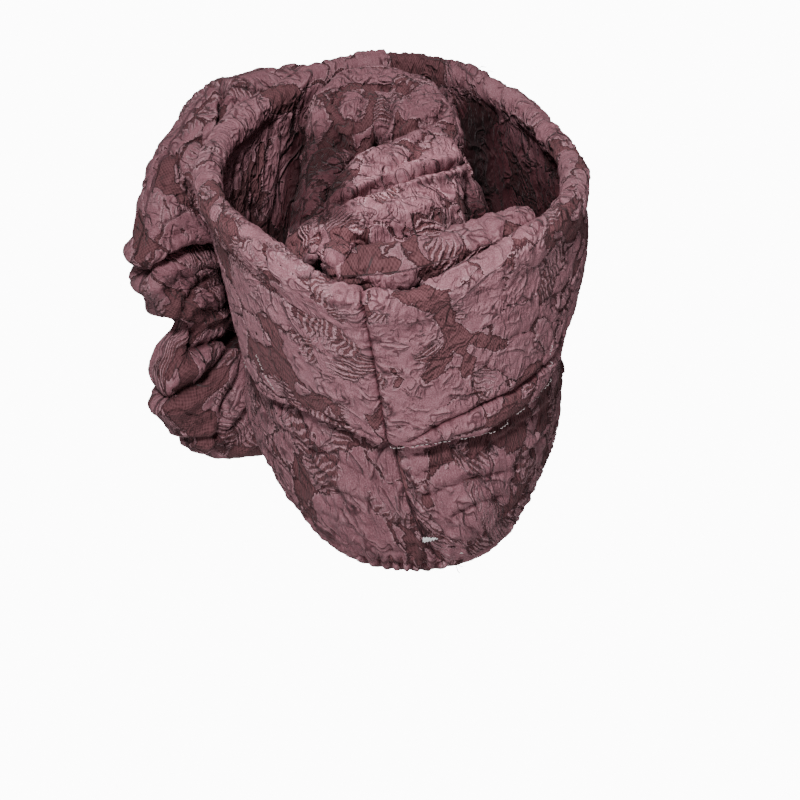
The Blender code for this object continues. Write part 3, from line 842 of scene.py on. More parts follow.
CAP_BARE = (
    ((-27, -89, -2), (-27, -89, -2), -19.0),
    ((-24, -80, -27), (-24, -80, -27), -16.0),
    ((30, -88, 5), (30, -88, 5), -16.0),
    ((9, -92, 4), (15, -87, -13), 2.2),
    ((5, -84, -27), (9, -75, -38), 4.6),
)
TUCK_BARE = (
    ((18, -101, 136), (18, -101, 136), -12.0),
    ((42, -88, 144), (42, -88, 144), -12.0),
    ((58, -75, 148), (58, -75, 148), -9.0),
    ((-27, -104, 126), (-6, -107, 127), 6.0),
)
FLOWER_BARE = (
    # angle, section, to angle, to section, half-breadth
    (20, 12, 12, 348, 6.5),
    (-6, 318, -27, 222, 5.5),
    (-36, 315, -50, 306, 9.0),
    (62, 318, 50, 290, 4.0),
)


def table(rows, column, x):
    xs = [row[0] for row in rows]
    return np.interp(x, xs, [row[column] for row in rows])


def band_shape(angle, q):
    """The band with its folds but not its weave."""
    p = band_point(angle, q)
    n = grid_normals(p, closed_cols=True)
    s = np.where(q < 0.45, q / 0.45, np.where(q > 0.55, (1 - q) / 0.45, 1.0))
    outside = (q < 0.5).astype(float)
    run = np.radians(angle) * 105
    z = p[..., 2]
    # seam at the centre back, pulled in
    seam = (angle - np.interp(s, [0, 1], [BAND_SEAM[0][1], BAND_SEAM[1][1]])) * np.pi / 180 * 108
    seam = (seam + 330) % 660 - 330
    lift = -3.4 * np.exp(-np.abs(seam) / 1.5) + 1.0 * np.exp(-((np.abs(seam) - 5) / 4) ** 2)
    lift = lift * (0.4 + 0.6 * outside)
    # gathers across the padded rim
    roll = smooth(0.33, 0.42, q) * smooth(0.72, 0.58, q)
    along_rim = np.stack([run + 2 * noise(p, 12, 70), 26 * (q - 0.5) + run * 0.10, 0 * run], -1)
    pleat = 1 - 5 * np.abs(noise(along_rim * np.array([1, 0.22, 1]), 4.2, 71))
    pleat2 = 5 * np.abs(noise(along_rim * np.array([1, 0.20, 1]), 8.5, 72)) - 1
    lift = lift + roll * (0.45 * np.clip(pleat, -1, 1) + 0.45 * np.clip(pleat2, -1, 1))
    # hanging folds inside
    inner = smooth(0.54, 0.62, q)
    hang = np.stack([run, z * 0.22, 0 * run], -1)
    lift = lift + inner * (1.6 * np.clip(1 - 4 * np.abs(noise(hang, 17, 73)), -1, 1) + 0.8 * np.clip(1 - 4 * np.abs(noise(hang, 8, 74)), -1, 1))
    # the foot's inner edge lies on the cap
    lift = lift * smooth(1.0, 0.90, q) + 3.4 * smooth(0.90, 0.985, q)
    # soft swells of the outside
    lift = lift + outside * (2.2 * noise(p, 55, 75) + 1.3 * noise(p, 28, 76)) * smooth(0.0, 0.12, s)
    # the pleat above the stitching at the right
    crease_z, stitch_z, puff = (table(FOOT_ROWS, k, angle) for k in (1, 2, 3))
    here = outside * smooth(-6, 4, angle) * smooth(86, 72, angle)
    between = np.clip((z - stitch_z) / np.maximum(crease_z - stitch_z, 1), 0, 1)
    lift = lift + here * puff * np.sin(between * np.pi) ** 0.6 * (z < crease_z)
    lift = lift - here * 2.6 * np.exp(-np.abs(z - crease_z) / 1.6) * np.clip(puff, 0, 1)
    lift = lift + here * 1.2 * np.exp(-((z - crease_z - 4) / 4) ** 2) * np.clip(puff, 0, 1)
    foot_z = around(BAND_ROWS, 1, angle)
    near_stitch = np.where((angle > -6) & (angle < 84), stitch_z, foot_z + 4.5)
    lift = lift - outside * 1.3 * np.exp(-np.abs(z - near_stitch) / 1.1)
    # a dark seam line, and painted shade along the pleat's crease
    dark = np.maximum(outside * np.exp(-(seam / 1.1) ** 2),
                      here * np.clip(puff, 0, 1) * np.exp(-((z - crease_z) / 1.2) ** 2))
    return p + n * lift[..., None], dark


def band():
    cols = 640
    start = -7.6
    angle = np.linspace(start, start + 360, cols + 1)
    angle = np.where(angle > 180, angle - 360, angle)
    q = np.concatenate([np.linspace(0.0, 0.40, 84)[:-1], np.linspace(0.40, 0.60, 36)[:-1], np.linspace(0.60, 1.0, 34)[:-1]])
    q = 0.012 + q * 0.976
    angle, q = np.repeat(angle[:, None], len(q), 1), np.repeat(q[None], cols + 1, 0)
    # the sheet opens along its seam, which leans
    s = np.where(q < 0.45, q / 0.45, np.where(q > 0.55, (1 - q) / 0.45, 1.0))
    lean = np.interp(s, [0, 1], [-5.0, -10.3]) - start
    angle = angle + lean
    p, dark = band_shape(angle, q)
    n = grid_normals(p, closed_cols=True)
    run = np.radians(np.linspace(0, 360, cols + 1))[:, None] * 106 + 0 * q
    rise = np.cumsum(np.linalg.norm(np.diff(p, axis=1, prepend=p[:, :1]), axis=-1), 1)
    rise = np.repeat(rise.mean(0)[None], cols + 1, 0)
    x, y, z = p[..., 0], p[..., 1], p[..., 2]
    # painted shade on the band's inside, deepest on the far wall beside the twist on either side and lighter where the
    # left rim's inside is lit; a light painted shade over the back; a painted highlight on the outside's upper front
    behind = np.maximum(np.exp(-((x - 43) / 12) ** 2), 0.9 * np.exp(-((x + 63) / 7) ** 2)) * smooth(0, 40, y)
    side = smooth(-45, -80, x)
    lit = 0.6 * side * smooth(112, 150, z)
    painted_shading = np.maximum(smooth(0.53 + 0.08 * side, 0.62 + 0.20 * side, q) * (0.66 + 0.34 * np.maximum(smooth(185, 140, z), behind)) * (1 - lit), 0.25 * smooth(30, 80, y))
    painted_shading = painted_shading - 0.28 * smooth(92, 120, z) * smooth(-60, -100, y) * (q < 0.52)
    painted_shading = painted_shading + 0.8 * behind * smooth(0.56, 0.64, q) * smooth(205, 180, z)
    p, relief = dressed(p, n, (run, rise), 3, painted_shading=painted_shading, seam=dark, spots=BAND_BARE)
    p[-1] = p[0]
    return cloth("halo_band_cloth", p.reshape(-1, 3), grid_faces(cols + 1, q.shape[1], closed_cols=True, flip=True), (run, rise), relief,
                 ["halo_band"])


def cap():
    cols = 560
    rows = np.concatenate([np.linspace(0, 0.52, 84)[:-1], np.linspace(0.52, 0.985, 26)])
    start = 3.0
    angle = np.linspace(start, start + 360, cols + 1)
    angle = np.where(angle > 180, angle - 360, angle)
    shells = []
    first = cap_start(angle)
    for inset, ts in ((0.0, rows), (CLOTH, rows[::7])):
        a = np.repeat(angle[:, None], len(ts), 1)
        t = first[:, None] + (1 - first[:, None]) * ts[None]
        shells.append((a, t, inset))
    a, t, _ = shells[0]
    # the seam leans to the right towards the nape
    z0 = cap_point(a, t)[..., 2]
    lean = np.interp(z0, SEAM_HEIGHTS, SEAM_ANGLES) - start
    a = a + lean
    p = cap_point(a, t)
    n = grid_normals(p)
    z = p[..., 2]
    run = np.radians(a - lean - start)
    seam = (np.radians(np.linspace(0, 360, cols + 1))[:, None] * np.hypot(p[..., 0], p[..., 1]))
    seam = np.minimum(seam, 2 * np.pi * np.hypot(p[..., 0], p[..., 1]) - seam)
    lift = -3.0 * np.exp(-np.abs(seam) / 1.5) + 0.9 * np.exp(-((seam - 5) / 4) ** 2)
    hem_z = around(CAP_ROWS, 2, a)
    up = z - hem_z
    # gathers into the elastic hem
    aa = (a + 180) % 360 - 180
    close = np.exp(-np.maximum(up - 7, 0) / 12)
    gather = np.sin(np.radians(a) * 57 / 5.6 * 2 * np.pi + 1.5 * np.sin(np.radians(a) * 9) + 1.2 * noise(p, 14, 31))
    lift = lift + close * 1.5 * gather * (0.22 + 1.0 * hem_gather(aa))
    # drag folds across the back, right of the seam
    drag = 0 * z
    for a0, z0_, a1, z1, deep, broad in CAP_FOLDS:
        f = np.clip((aa - a0) / (a1 - a0), 0, 1)
        line = z0_ + (z1 - z0_) * f + 4 * np.sin(f * np.pi) * (1 if deep > 0 else -1)
        window = smooth(-0.06, 0.12, (aa - a0) / (a1 - a0)) * smooth(1.06, 0.8, (aa - a0) / (a1 - a0))
        lift = lift - window * deep * np.exp(-np.abs(z - line) / (0.35 * broad)) + window * deep * 0.7 * np.exp(-((z - line - broad) / broad) ** 2)
        drag = np.maximum(drag, window * np.exp(-((z - line) / 1.0) ** 2))
    lift = lift + 1.6 * noise(p, 45, 33) + 1.0 * noise(p, 22, 34) + 1.0 * crumple(p, 77, 1.7)
    p = p + n * lift[..., None]
    n = grid_normals(p)
    radius = np.hypot(p[..., 0], p[..., 1])
    turn = np.radians(np.linspace(0, 360, cols + 1))[:, None]
    turn = np.where(turn > np.pi, turn - 2 * np.pi, turn)
    u = turn * radius + np.where(turn < 0, 900, 0)
    v = np.cumsum(np.linalg.norm(np.diff(p, axis=1, prepend=p[:, :1]), axis=-1), 1)
    v = np.repeat(v.mean(0)[None], cols + 1, 0)
    # painted shade over the whole cap, a little less to the right; the seam marks are the dark seam line and painted
    # shade in the drag folds and in the hem's gathers
    p, relief = dressed(p, n, (u, v), 11, seam=np.maximum.reduce([np.exp(-(seam / 1.1) ** 2), 0.7 * drag, 0.8 * np.exp(-np.maximum(up - 5, 0) / 5) * smooth(-0.55, -0.95, gather) * hem_gather(aa)]), painted_shading=0.31 - 0.15 * smooth(-5, 25, p[..., 0]), spots=CAP_BARE, cell=17.0, crinkle=0.42, rise=1.1, wrinkle=0.42, calm=1 - 0.55 * smooth(40, 70, np.abs(aa)))
    p[-1] = p[0]
    a2, t2, inset = shells[1]
    inner = cap_point(a2 + lean[:, ::7][:, :a2.shape[1]], t2, inset)
    rows_out, rows_in = p.shape[1], inner.shape[1]
    both = np.concatenate([inner[:, ::-1], p], 1)
    uv = tuple(np.concatenate([x[:, ::7][:, ::-1], x], 1) for x in (u, v))
    relief = {k: np.concatenate([np.minimum(r[:, ::7][:, ::-1], 0.0) - (3.0 if k == "figure" else 0.0), r], 1) for k, r in relief.items()}
    cloth("cap_base_cloth", both.reshape(-1, 3), grid_faces(cols + 1, both.shape[1], flip=True), uv, relief, ["cap_base"])
    # the crown's middle, under the twist, painted in full shade
    ring_out, ring_in = both[:-1, -1], both[:-1, 0]
    verts = np.vstack([ring_out, [[0, 0, ring_out[:, 2].mean() + 0.6]], ring_in, [[0, 0, ring_in[:, 2].mean() + 0.4]]])
    k = len(ring_out)
    faces = [(i, (i + 1) % k, k) for i in range(k)] + [((i + 1) % k + k + 1, i + k + 1, 2 * k + 1) for i in range(k)]
    flat = {key: np.full(len(verts), value) for key, value in (("figure", -3.0), ("groove", 0.0), ("tone", 0.0), ("crease", 0.0), ("fan", 0.0), ("cut", 0.0), ("painted_shading", 1.0))}
    cloth("cap_crown_cloth", verts, faces, (verts[:, 0], verts[:, 1]), flat, ["cap_base"])


CAP_FOLDS = (
    # from angle, from z, to angle, to z, depth, breadth
    (-2, 21, 52, 40, 3.0, 4.5),
    (2, 11, 30, 20, 2.4, 4.0),
    (26, 22, 66, 36, 2.4, 4.0),
    (3, -1, 44, 9, 2.6, 4.5),
    (14, -14, 42, -6, 2.2, 4.0),
    (40, 6, 72, 22, 2.0, 4.0),
    (-40, 20, -10, 8, 1.8, 4.5),
    (-60, 30, -30, 14, 1.8, 5),
    (-34, 0, -8, -8, 1.8, 4),
    (-70, 12, -44, -4, 1.8, 5),
)


def hem_gather(angle):
    """Where the elastic bunches the hem: the centre back."""
    return smooth(-34, -14, angle) * smooth(26, 15, angle)


def hem():
    cols, rows = 720, 26
    angle = np.linspace(-180, 180, cols, endpoint=False)
    turn = np.arange(rows) * 2 * np.pi / rows
    a, t = np.repeat(angle[:, None], rows, 1), np.repeat(turn[None], cols, 0)
    hem_z = around(CAP_ROWS, 2, a)
    back = 0.16 + 0.95 * hem_gather(a)
    bunch = np.sin(np.radians(a) * 57 / 5.6 * 2 * np.pi + 1.5 * np.sin(np.radians(a) * 9))
    top = np.sin(t) > 0
    z = hem_z + HEM_TALL / 2 + (0.5 * HEM_TALL + 2.2 * top) * np.sin(t)
    r = cap_radius(a, hem_z + HEM_TALL / 2 + 0.5 * HEM_TALL * np.sin(t)) - HEM_HALF + (HEM_HALF + 2.2 * back * bunch) * np.cos(t)
    r = r - 1.4 * smooth(0.5, 1.0, np.sin(t))
    p = polar(a, r, z)
    n = grid_normals(p, True, True)
    uv = (np.radians(a) * 70, t * 4)
    # painted shade in the valleys between the gathers at the back
    p, relief = dressed(p, n, uv, 21, crinkle=0.25, rise=0.3, wrinkle=0.2, seam=back * smooth(-0.1, -0.8, bunch))
    cloth("hem_band_cloth", p.reshape(-1, 3), grid_faces(cols, rows, True, True, flip=True), uv, relief, ["hem_band"])


# creases of the twist as seen from behind and above: across, up, with depth and half-breadth
TWIST_CREASES = (
    (((-45, 190), (-40, 181), (-34, 170), (-28, 159)), 3.5, 2.2),
    (((-28, 159), (-35, 149), (-39, 137)), 3.0, 2.2),
    (((-32, 210), (-36, 200), (-36, 190), (-32, 181)), 2.4, 1.8),
    (((-23, 200), (-25, 190), (-26, 177), (-25, 163)), 3.2, 1.7),
    (((-11, 205), (-7, 194), (-10, 180), (-17, 169)), 3.6, 1.7),
    (((2, 205), (5, 196), (0, 184), (-10, 172)), 2.0, 2.0),
    (((20, 188), (11, 181), (-2, 174), (-14, 168), (-26, 161)), 4.6, 1.9),
    (((26, 157), (11, 152), (-4, 146), (-18, 141), (-32, 133)), 6.4, 1.7),
    (((15, 178), (9, 169), (4, 158)), 1.6, 1.8),
    (((-3, 170), (-8, 163), (-17, 158)), 1.4, 1.6),
)
VIEW_TILT = 12.0
# cloth that spans between the rolls and under the lower one
TWIST_FILL = (
    ((17, -16, 166, 14), (12, -34, 158, 15), (0, -52, 154, 13.5), (-14, -64, 150, 12), (-26, -76, 146, 9)),
    ((20, -34, 152, 13), (22, -48, 137, 12), (24, -54, 124, 12)),
    ((12, -60, 138, 14), (0, -70, 131, 13), (-14, -76, 130, 12)),
    ((12, -62, 124, 14), (-6, -70, 120, 13)),
)


def twist_skin(p):
    d = twist_distance(p)
    tuck = TUCK_CLEAR - chain_distance(p, TUCK_ROWS)
    for rows in TWIST_FILL:
        d = blend(d, np.maximum(chain_distance(p, rows), tuck), 4.0)
    return d


def remeshed(balls, voxel):
    """One even skin round many balls (x, y, z, radius)."""
    work = bmesh.new()
    bmesh.ops.create_icosphere(work, subdivisions=3, radius=1)
    work.verts.ensure_lookup_table()
    unit = np.array([v.co[:] for v in work.verts])
    faces = np.array([[v.index for v in f.verts] for f in work.faces])
    work.free()
    verts = np.concatenate([np.array(ball[:3]) + unit * ball[3] for ball in balls])
    faces = np.concatenate([faces + k * len(unit) for k in range(len(balls))])
    mesh = bpy.data.meshes.new("remesh_work")
    mesh.from_pydata(verts.tolist(), [], faces.tolist())
    whole = bpy.data.objects.new("remesh_work", mesh)
    bpy.context.scene.collection.objects.link(whole)
    even = whole.modifiers.new("even", "REMESH")
    even.mode = "VOXEL"
    even.voxel_size = voxel
    made = bpy.data.meshes.new_from_object(whole.evaluated_get(bpy.context.evaluated_depsgraph_get()))
    co = np.empty(len(made.vertices) * 3, dtype=np.float32)
    made.vertices.foreach_get("co", co)
    quads = np.array([list(f.vertices) for f in made.polygons if len(f.vertices) == 4])
    bpy.data.objects.remove(whole, do_unlink=True)
    bpy.data.meshes.remove(mesh)
    bpy.data.meshes.remove(made)
    return co.reshape(-1, 3).astype(float), quads


def skin_normals(p, faces):
    f = np.cross(p[faces[:, 2]] - p[faces[:, 0]], p[faces[:, 3]] - p[faces[:, 1]])
    n = np.zeros_like(p)
    for k in range(4):
        np.add.at(n, faces[:, k], f)
    return n / np.maximum(np.linalg.norm(n, axis=1)[:, None], 1e-9)


def eased(values, faces, turns, share=0.5):
    for _ in range(turns):
        total, count = np.zeros_like(values), np.zeros(len(values))
        for k in range(4):
            np.add.at(total, faces[:, k], values[faces[:, (k + 1) % 4]])
            np.add.at(count, faces[:, k], 1)
        values = (1 - share) * values + share * total / np.maximum(count, 1)[:, None]
    return values


def twist():
    balls = []
    for rows in (*TWIST_ROLLS.values(), *TWIST_FILL):
        rows = np.array(rows, float)
        for a, b in zip(rows, rows[1:]):
            parts = max(2, int(np.linalg.norm(b[:3] - a[:3]) / 3.0))
            balls += [a + (b - a) * k / parts for k in range(parts + 1)]
    p, faces = remeshed(balls, 1.25)
    for _ in range(6):
        d = twist_skin(p)
        g = np.stack([twist_skin(p + e) - d for e in np.eye(3) * 0.3], -1) / 0.3
        p = p - np.clip(d, -3, 3)[:, None] * g / np.maximum((g * g).sum(1), 0.3)[:, None]
    p = eased(p, faces, 3)
    n = skin_normals(p, faces)
    if ((p - p.mean(0)) * n).sum() < 0:
        n, faces = -n, faces[:, ::-1]
    lift = 1.6 * noise(p, 26, 51) + 0.9 * np.clip(4 * np.abs(noise(p, 19, 52)) - 0.6, -1, 1)
    facing = smooth(0.0, 0.4, -n[:, 1])
    tilt = math.radians(VIEW_TILT)
    flat = np.stack([p[:, 0], p[:, 2] * math.cos(tilt) + p[:, 1] * math.sin(tilt)], -1)
    flat = flat + np.stack([1.8 * noise(p, 12, 53), 1.8 * noise(p, 12, 54)], -1)
    dark = np.zeros(len(p))
    # each crease is a groove, painted dark along its bottom as painted shade
    for run, deep, broad in TWIST_CREASES:
        best = np.full(len(p), 99.0)
        for a, b in zip(run, run[1:]):
            a, b = np.array(a, float), np.array(b, float)
            q = flat - a
            t = np.clip(q @ (b - a) / ((b - a) @ (b - a)), 0, 1)
            best = np.minimum(best, np.linalg.norm(q - t[:, None] * (b - a), axis=1))
        dark = np.maximum(dark, facing * min(1.0, deep / 3.0) * np.exp(-(best / 0.9) ** 2))
        lift = lift - facing * deep * np.exp(-best / broad) + facing * 0.45 * deep * np.exp(-((best - 2.4 * broad) / (1.2 * broad)) ** 2)
    p = p + n * lift[:, None]
    n = skin_normals(p, faces)
    # places in the flat cloth: over the top and down the back, and round the sides
    soft = eased(n, faces, 40)
    sideways = soft[:, 0] / np.maximum(np.linalg.norm(soft, axis=1), 1e-6)
    turned = np.abs(sideways) > 0.74
    v = np.where(turned, p[:, 2] + 0.3 * p[:, 0], p[:, 2] + p[:, 1])
    u = np.where(turned, np.sign(sideways) * (200 + p[:, 1]), p[:, 0])
    uv = (u + 300, v)
    # painted shade in the well, on the left lobe, on the arch's face, at the very bottom and a little along the top; a
    # painted highlight on the lowest rolls and on the upward faces of the middle
    well = smooth(31, 42, np.abs(p[:, 0] + 4)) * smooth(165, 140, p[:, 2]) * smooth(-80, -50, p[:, 1])
    left = smooth(-22, -36, p[:, 0]) * smooth(200, 172, p[:, 2])
    face = np.exp(-((flat[:, 0] + 16) / 16) ** 2 - ((flat[:, 1] - 176) / 14) ** 2)
    # the petals and bare patches of the arch
    fu = flat[:, 0] + 1.6 * noise(p, 7, 55)
    fv = flat[:, 1] + 1.6 * noise(p, 7, 56)
    far = np.where(facing > 0.5, 0.0, 99.0)
    bare = np.minimum.reduce([np.hypot((fu + 27) * 1.05, (fv - 193) * 0.85) - 13.5, np.hypot(fu + 33, (fv - 175) * 0.7) - 5.5,
                              np.hypot((fu + 1) * 1.6, (fv - 202) * 0.7) - 6.0, np.hypot((fu - 6 - (fv - 162) * 0.6) * 1.5, (fv - 162) * 0.6) - 3.6]) + far
    petal = np.maximum.reduce([8.2 - np.hypot(fu + 28, (fv - 194) * 0.9), (fv - 208) + 0 * fu, 6.0 - np.hypot(fu + 10.5, (fv - 186) * 0.40),
                               11.0 - np.hypot((fu - 12) * 0.8, fv - 195), 5.0 - np.hypot(fu + 47, (fv - 186) * 0.4),
                               7.0 - np.hypot((fu + 10) * 0.6, fv - 158 - 0.45 * (fu + 10))]) - far
    low = smooth(128, 119, flat[:, 1])
    well, left = well * (1 - 0.8 * low), left * (1 - low)
    lit_crest = 0.4 * low * facing + 0.75 * smooth(0.2, 0.75, n[:, 2]) * smooth(-34, -22, flat[:, 0]) * smooth(178, 166, flat[:, 1]) * (1 - dark)
    painted_shading = np.maximum.reduce([well, smooth(124, 106, p[:, 2]), 0.85 * left, 0.45 * face, 0.16 * smooth(170, 188, flat[:, 1]) * facing])
    painted_shading = np.where(painted_shading < 0.3, painted_shading - lit_crest * (1 - painted_shading / 0.3), painted_shading)
    p, relief = dressed(p, n, uv, 5, crinkle=0.30, wrinkle=0.45, painted_shading=painted_shading, seam=0.8 * dark, bare=bare, petal=petal)
    cloth("crown_twist_cloth", p, faces, uv, relief, ["crown_twist"])


def tuck():
    rows, cols = 230, 84
    t = np.linspace(0, 1, rows)
    table_ = along(TUCK_ROWS, t)
    path, radius = table_[:, :3], table_[:, 3]
    ahead = np.gradient(path, axis=0)
    ahead /= np.linalg.norm(ahead, axis=1)[:, None]
    side = np.cross(ahead, [0, 0, 1.0])
    side /= np.linalg.norm(side, axis=1)[:, None]
    up = np.cross(side, ahead)
    turn = np.arange(cols) * 2 * np.pi / cols
    close = np.sqrt(np.clip(1 - (np.clip((np.abs(t - 0.5) - 0.46) / 0.04, 0, 1)) ** 2, 0.0004, 1))
    path = path - np.array([0, 0, 1.5])
    p = path[:, None] + (radius * close)[:, None, None] * (np.cos(turn)[None, :, None] * side[:, None] + np.sin(turn)[None, :, None] * up[:, None])
    n = grid_normals(p, closed_cols=True)
    if ((p - path[:, None]) * n).sum() < 0:
        n = -n
    run = np.repeat((t * 120)[:, None], cols, 1)
    rise = np.repeat((turn * 10)[None], rows, 0)
    soft = np.stack([run, rise * 0.4, 0 * run], -1)
    lift = close[:, None] * (1.2 + 1.0 * np.clip(1 - 4 * np.abs(noise(soft, 9, 61)), -1, 1) + 0.6 * np.clip(1 - 4 * np.abs(noise(soft + run[..., None] * 0, 5, 62)), -1, 1))
    p = p + n * lift[..., None]
    p, relief = dressed(p, n, (run + 40, rise), 8, crinkle=0.3, spots=TUCK_BARE)
    cloth("tuck_roll_cloth", p.reshape(-1, 3), grid_faces(rows, cols, closed_cols=True), (run, rise), relief, ["tuck_roll"])


OUTER_CREASES = (
    # angle, depth, half-breadth in mm, lean in degrees towards the outer edge, share of the breadth it keeps to
    (15.5, 9, 3.2, -10.5, 0),
    (-27, 9, 4.5, 12, 0),
    (-37, 8, 3.2, 4.5, 0),
    (44, 6, 2.6, 24, 0.55),
    (28, 2.5, 2.6, 14, 0.4),
    (0, 2.5, 2.2, -14, 0.3),
    (-50, 3.5, 2.4, -10, 0),
    (-62, 3.5, 2.6, 12, 0),
    (84, 4, 3.0, 10, 0),
    (104, 4, 3.0, -14, 0),
    (122, 7, 4.0, 0, 0),
    (146, 5, 4.0, 8, 0),
    (172, 4, 3.5, -8, 0),
    (-160, 6, 4.0, 4, 0),
    (-128, 5, 4.0, -6, 0),
    (-100, 5, 4.0, 6, 0),
)


def flower_spot(rows, inside, ahead, angle, section):
    return coil_point(rows, inside, ahead, np.array([[float(angle)]]), np.array([[float(section)]]))[0, 0]


def coil(name, rows, inside, ahead, cols, sections, creases, seed, stands_for, bare=()):
    angle = np.linspace(-180, 180, cols, endpoint=False)
    section = np.arange(sections) * 360 / sections
    a, s = np.repeat(angle[:, None], sections, 1), np.repeat(section[None], cols, 0)
    p = coil_point(rows, inside, ahead, a, s)
    n = grid_normals(p, True, True)
    middle = p.mean(1, keepdims=True)
    if ((p - middle) * n).sum() < 0:
        n = -n
    reach = around(rows, 1, a)
    across = (1 + np.cos(np.radians(s))) / 2
    lift = 2.4 * noise(p, 38, seed + 1)
    # long soft folds that run from the inside edge to the outer one
    long_way = np.stack([np.radians(a) * 70 + 6 * noise(p, 30, seed + 5), across * 16, 0 * a], -1)
    calm = 0.25 + 0.75 * smooth(0.99, 0.80, across)
    lift = lift + calm * (1.5 * np.clip(1 - 5 * np.abs(noise(long_way, 17, seed + 2)), -1, 1) + 0.8 * np.clip(1 - 5 * np.abs(noise(long_way, 8, seed + 4)), -1, 1))
    fold = 0 * a
    for at, deep, broad, lean, share in creases:
        gap = ((a - at - lean * (across - 0.5) * 2 + 180) % 360 - 180) * np.pi / 180 * (inside + (reach - inside) * across)
        gap = gap + 3.5 * noise(p, 22, seed + 3)
        keep = smooth(share - 0.12, share + 0.12, across) if share else 1.0
        lift = lift + keep * (0.4 * deep * np.exp(-((np.abs(gap) - 2.4 * broad) / (1.3 * broad)) ** 2) - deep * np.exp(-np.abs(gap) / broad))
        fold = np.maximum(fold, keep * min(1.0, deep / 6) * np.exp(-(gap / (0.45 * broad)) ** 2))
    p = p + n * lift[..., None]
    n2 = grid_normals(p, True, True)
    n = n2 if (n2 * n).sum() > 0 else -n2
    run = np.radians(a) * 92
    rise = np.cumsum(np.linalg.norm(np.diff(p, axis=1, prepend=p[:, :1]), axis=-1), 1)
    rise = np.repeat(rise.mean(0)[None], cols, 0)
    spots = [(*(flower_spot(rows, inside, ahead, x, y) for x, y in ((a0, s0), (a1, s1))), broad) for a0, s0, a1, s1, broad in bare]
    # painted shade over the whole coil, deeper along its creases (fold) and towards its inside edge
    p, relief = dressed(p, n, (run, rise), seed, crinkle=0.28, wrinkle=0.42, painted_shading=np.clip(0.26 + 0.74 * fold + 0.8 * smooth(0.30, 0.0, across), 0, 1), spots=spots, calm=calm)
    flip = (grid_normals(p, True, True) * n).sum() < 0
    cloth(name, p.reshape(-1, 3), grid_faces(cols, sections, True, True, flip=bool(flip)), (run, rise), relief, stands_for)


def bud():
    n, m = 150, 80
    turn = np.repeat((np.arange(n) * 2 * np.pi / n)[:, None], m, 1)
    lift = np.repeat((np.linspace(-89.5, 89.5, m))[None], n, 0)
    spiral = np.cos(turn * 2 + np.radians(lift) * 3.2)
    r = BUD_R * np.cos(np.radians(lift)) ** 0.6 * (0.93 + 0.06 * spiral)
    p = flower_point(r * np.cos(turn), r * np.sin(turn), BUD_AHEAD + BUD_HALF * np.sin(np.radians(lift)))
    nn = grid_normals(p, closed_rows=True)
    if ((p - p.reshape(-1, 3).mean(0)) * nn).sum() < 0:
        nn = -nn
    uv = (turn * 18, np.radians(lift) * 22)
    p, relief = dressed(p, nn, uv, 9, crinkle=0.35)
    flip = (grid_normals(p, closed_rows=True) * nn).sum() < 0
    cloth("flower_bud_cloth", p.reshape(-1, 3), grid_faces(n, m, closed_rows=True, flip=bool(flip)), uv, relief, ["flower_bud"])


# ---------------------------------------------------------------- thread and backing
STITCH_RUNS = (
    # from angle, to angle along the band's foot where the white topstitching shows
    (None, 0),          # one of the paths below
    (None, 1),
    (-84, -66),
    (104, 168),
    (-176, -120),
)


# the white runs that leave the foot's edge: angle and height along them
STITCH_PATHS = ((
    (-4.5, 29), (3, 30.3), (10.5, 32), (16.5, 32.9), (23.5, 33.8), (29.5, 36.1), (34, 39.2), (38.5, 42.9),
    (45.5, 45.9), (50, 49.5), (52.2, 54), (52.8, 60), (52.5, 70), (51.5, 77.5),
), (
    (-51, 71), (-50.2, 67), (-49.3, 62), (-48.2, 57), (-47.0, 53), (-45.6, 50),
))


def foot_path(first, last):
    """Points of the topstitching on the band, just proud of the cloth."""
    if first is None:
        rows = np.array(STITCH_PATHS[last], float)
        t = np.linspace(0, len(rows) - 1, 26 * len(rows))
        a, want = (np.interp(t, np.arange(len(rows)), rows[:, c]) for c in (0, 1))
    else:
        a = np.arange(first, last, 0.25)
        want = around(BAND_ROWS, 1, a) + 4.5
    q = np.linspace(0.0, 0.36, 80)
    near, _ = band_shape(np.repeat(a[:, None], 80, 1), np.repeat(q[None], len(a), 0))
    out = []
    for i in range(len(a)):
        j = int(np.argmin(np.abs(near[i, :, 2] - want[i])))
        away = near[i, j] * np.array([1, 1, 0])
        out.append(near[i, j] + away / np.linalg.norm(away) * 2.3)
    return np.array(out)


def tube(points, radius, sides=6, taper=True):
    points = np.asarray(points, float)
    ahead = np.gradient(points, axis=0)
    ahead /= np.maximum(np.linalg.norm(ahead, axis=1)[:, None], 1e-9)
    side = np.cross(ahead, [0.31, 0.17, 0.93])
    side /= np.maximum(np.linalg.norm(side, axis=1)[:, None], 1e-9)
    up = np.cross(side, ahead)
    turn = np.arange(sides) * 2 * np.pi / sides
    r = radius * np.ones(len(points))
    if taper:
        r[0] = r[-1] = 0.35 * radius
    verts = points[:, None] + r[:, None, None] * (np.cos(turn)[None, :, None] * side[:, None] + np.sin(turn)[None, :, None] * up[:, None])
    faces = [tuple(f) for f in grid_faces(len(points), sides, closed_cols=True)]
    faces += [tuple(range(sides)), tuple((len(points) - 1) * sides + k for k in range(sides - 1, -1, -1))]
    return verts.reshape(-1, 3), faces


def small_piece(name, parts, material):
    verts, faces = [], []
    for v, f in parts:
        base = sum(len(x) for x in verts)
        verts.append(v)
        faces += [tuple(int(i) + base for i in face) for face in f]
    mesh = bpy.data.meshes.new(name)
    mesh.from_pydata((np.concatenate(verts) * 0.001).tolist(), [], faces)
    mesh.update()
    for face in mesh.polygons:
        face.use_smooth = True
    piece = bpy.data.objects.new(name, mesh)
    bpy.context.scene.collection.objects.link(piece)
    mesh.materials.append(material)
    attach(piece, "root")
    return piece


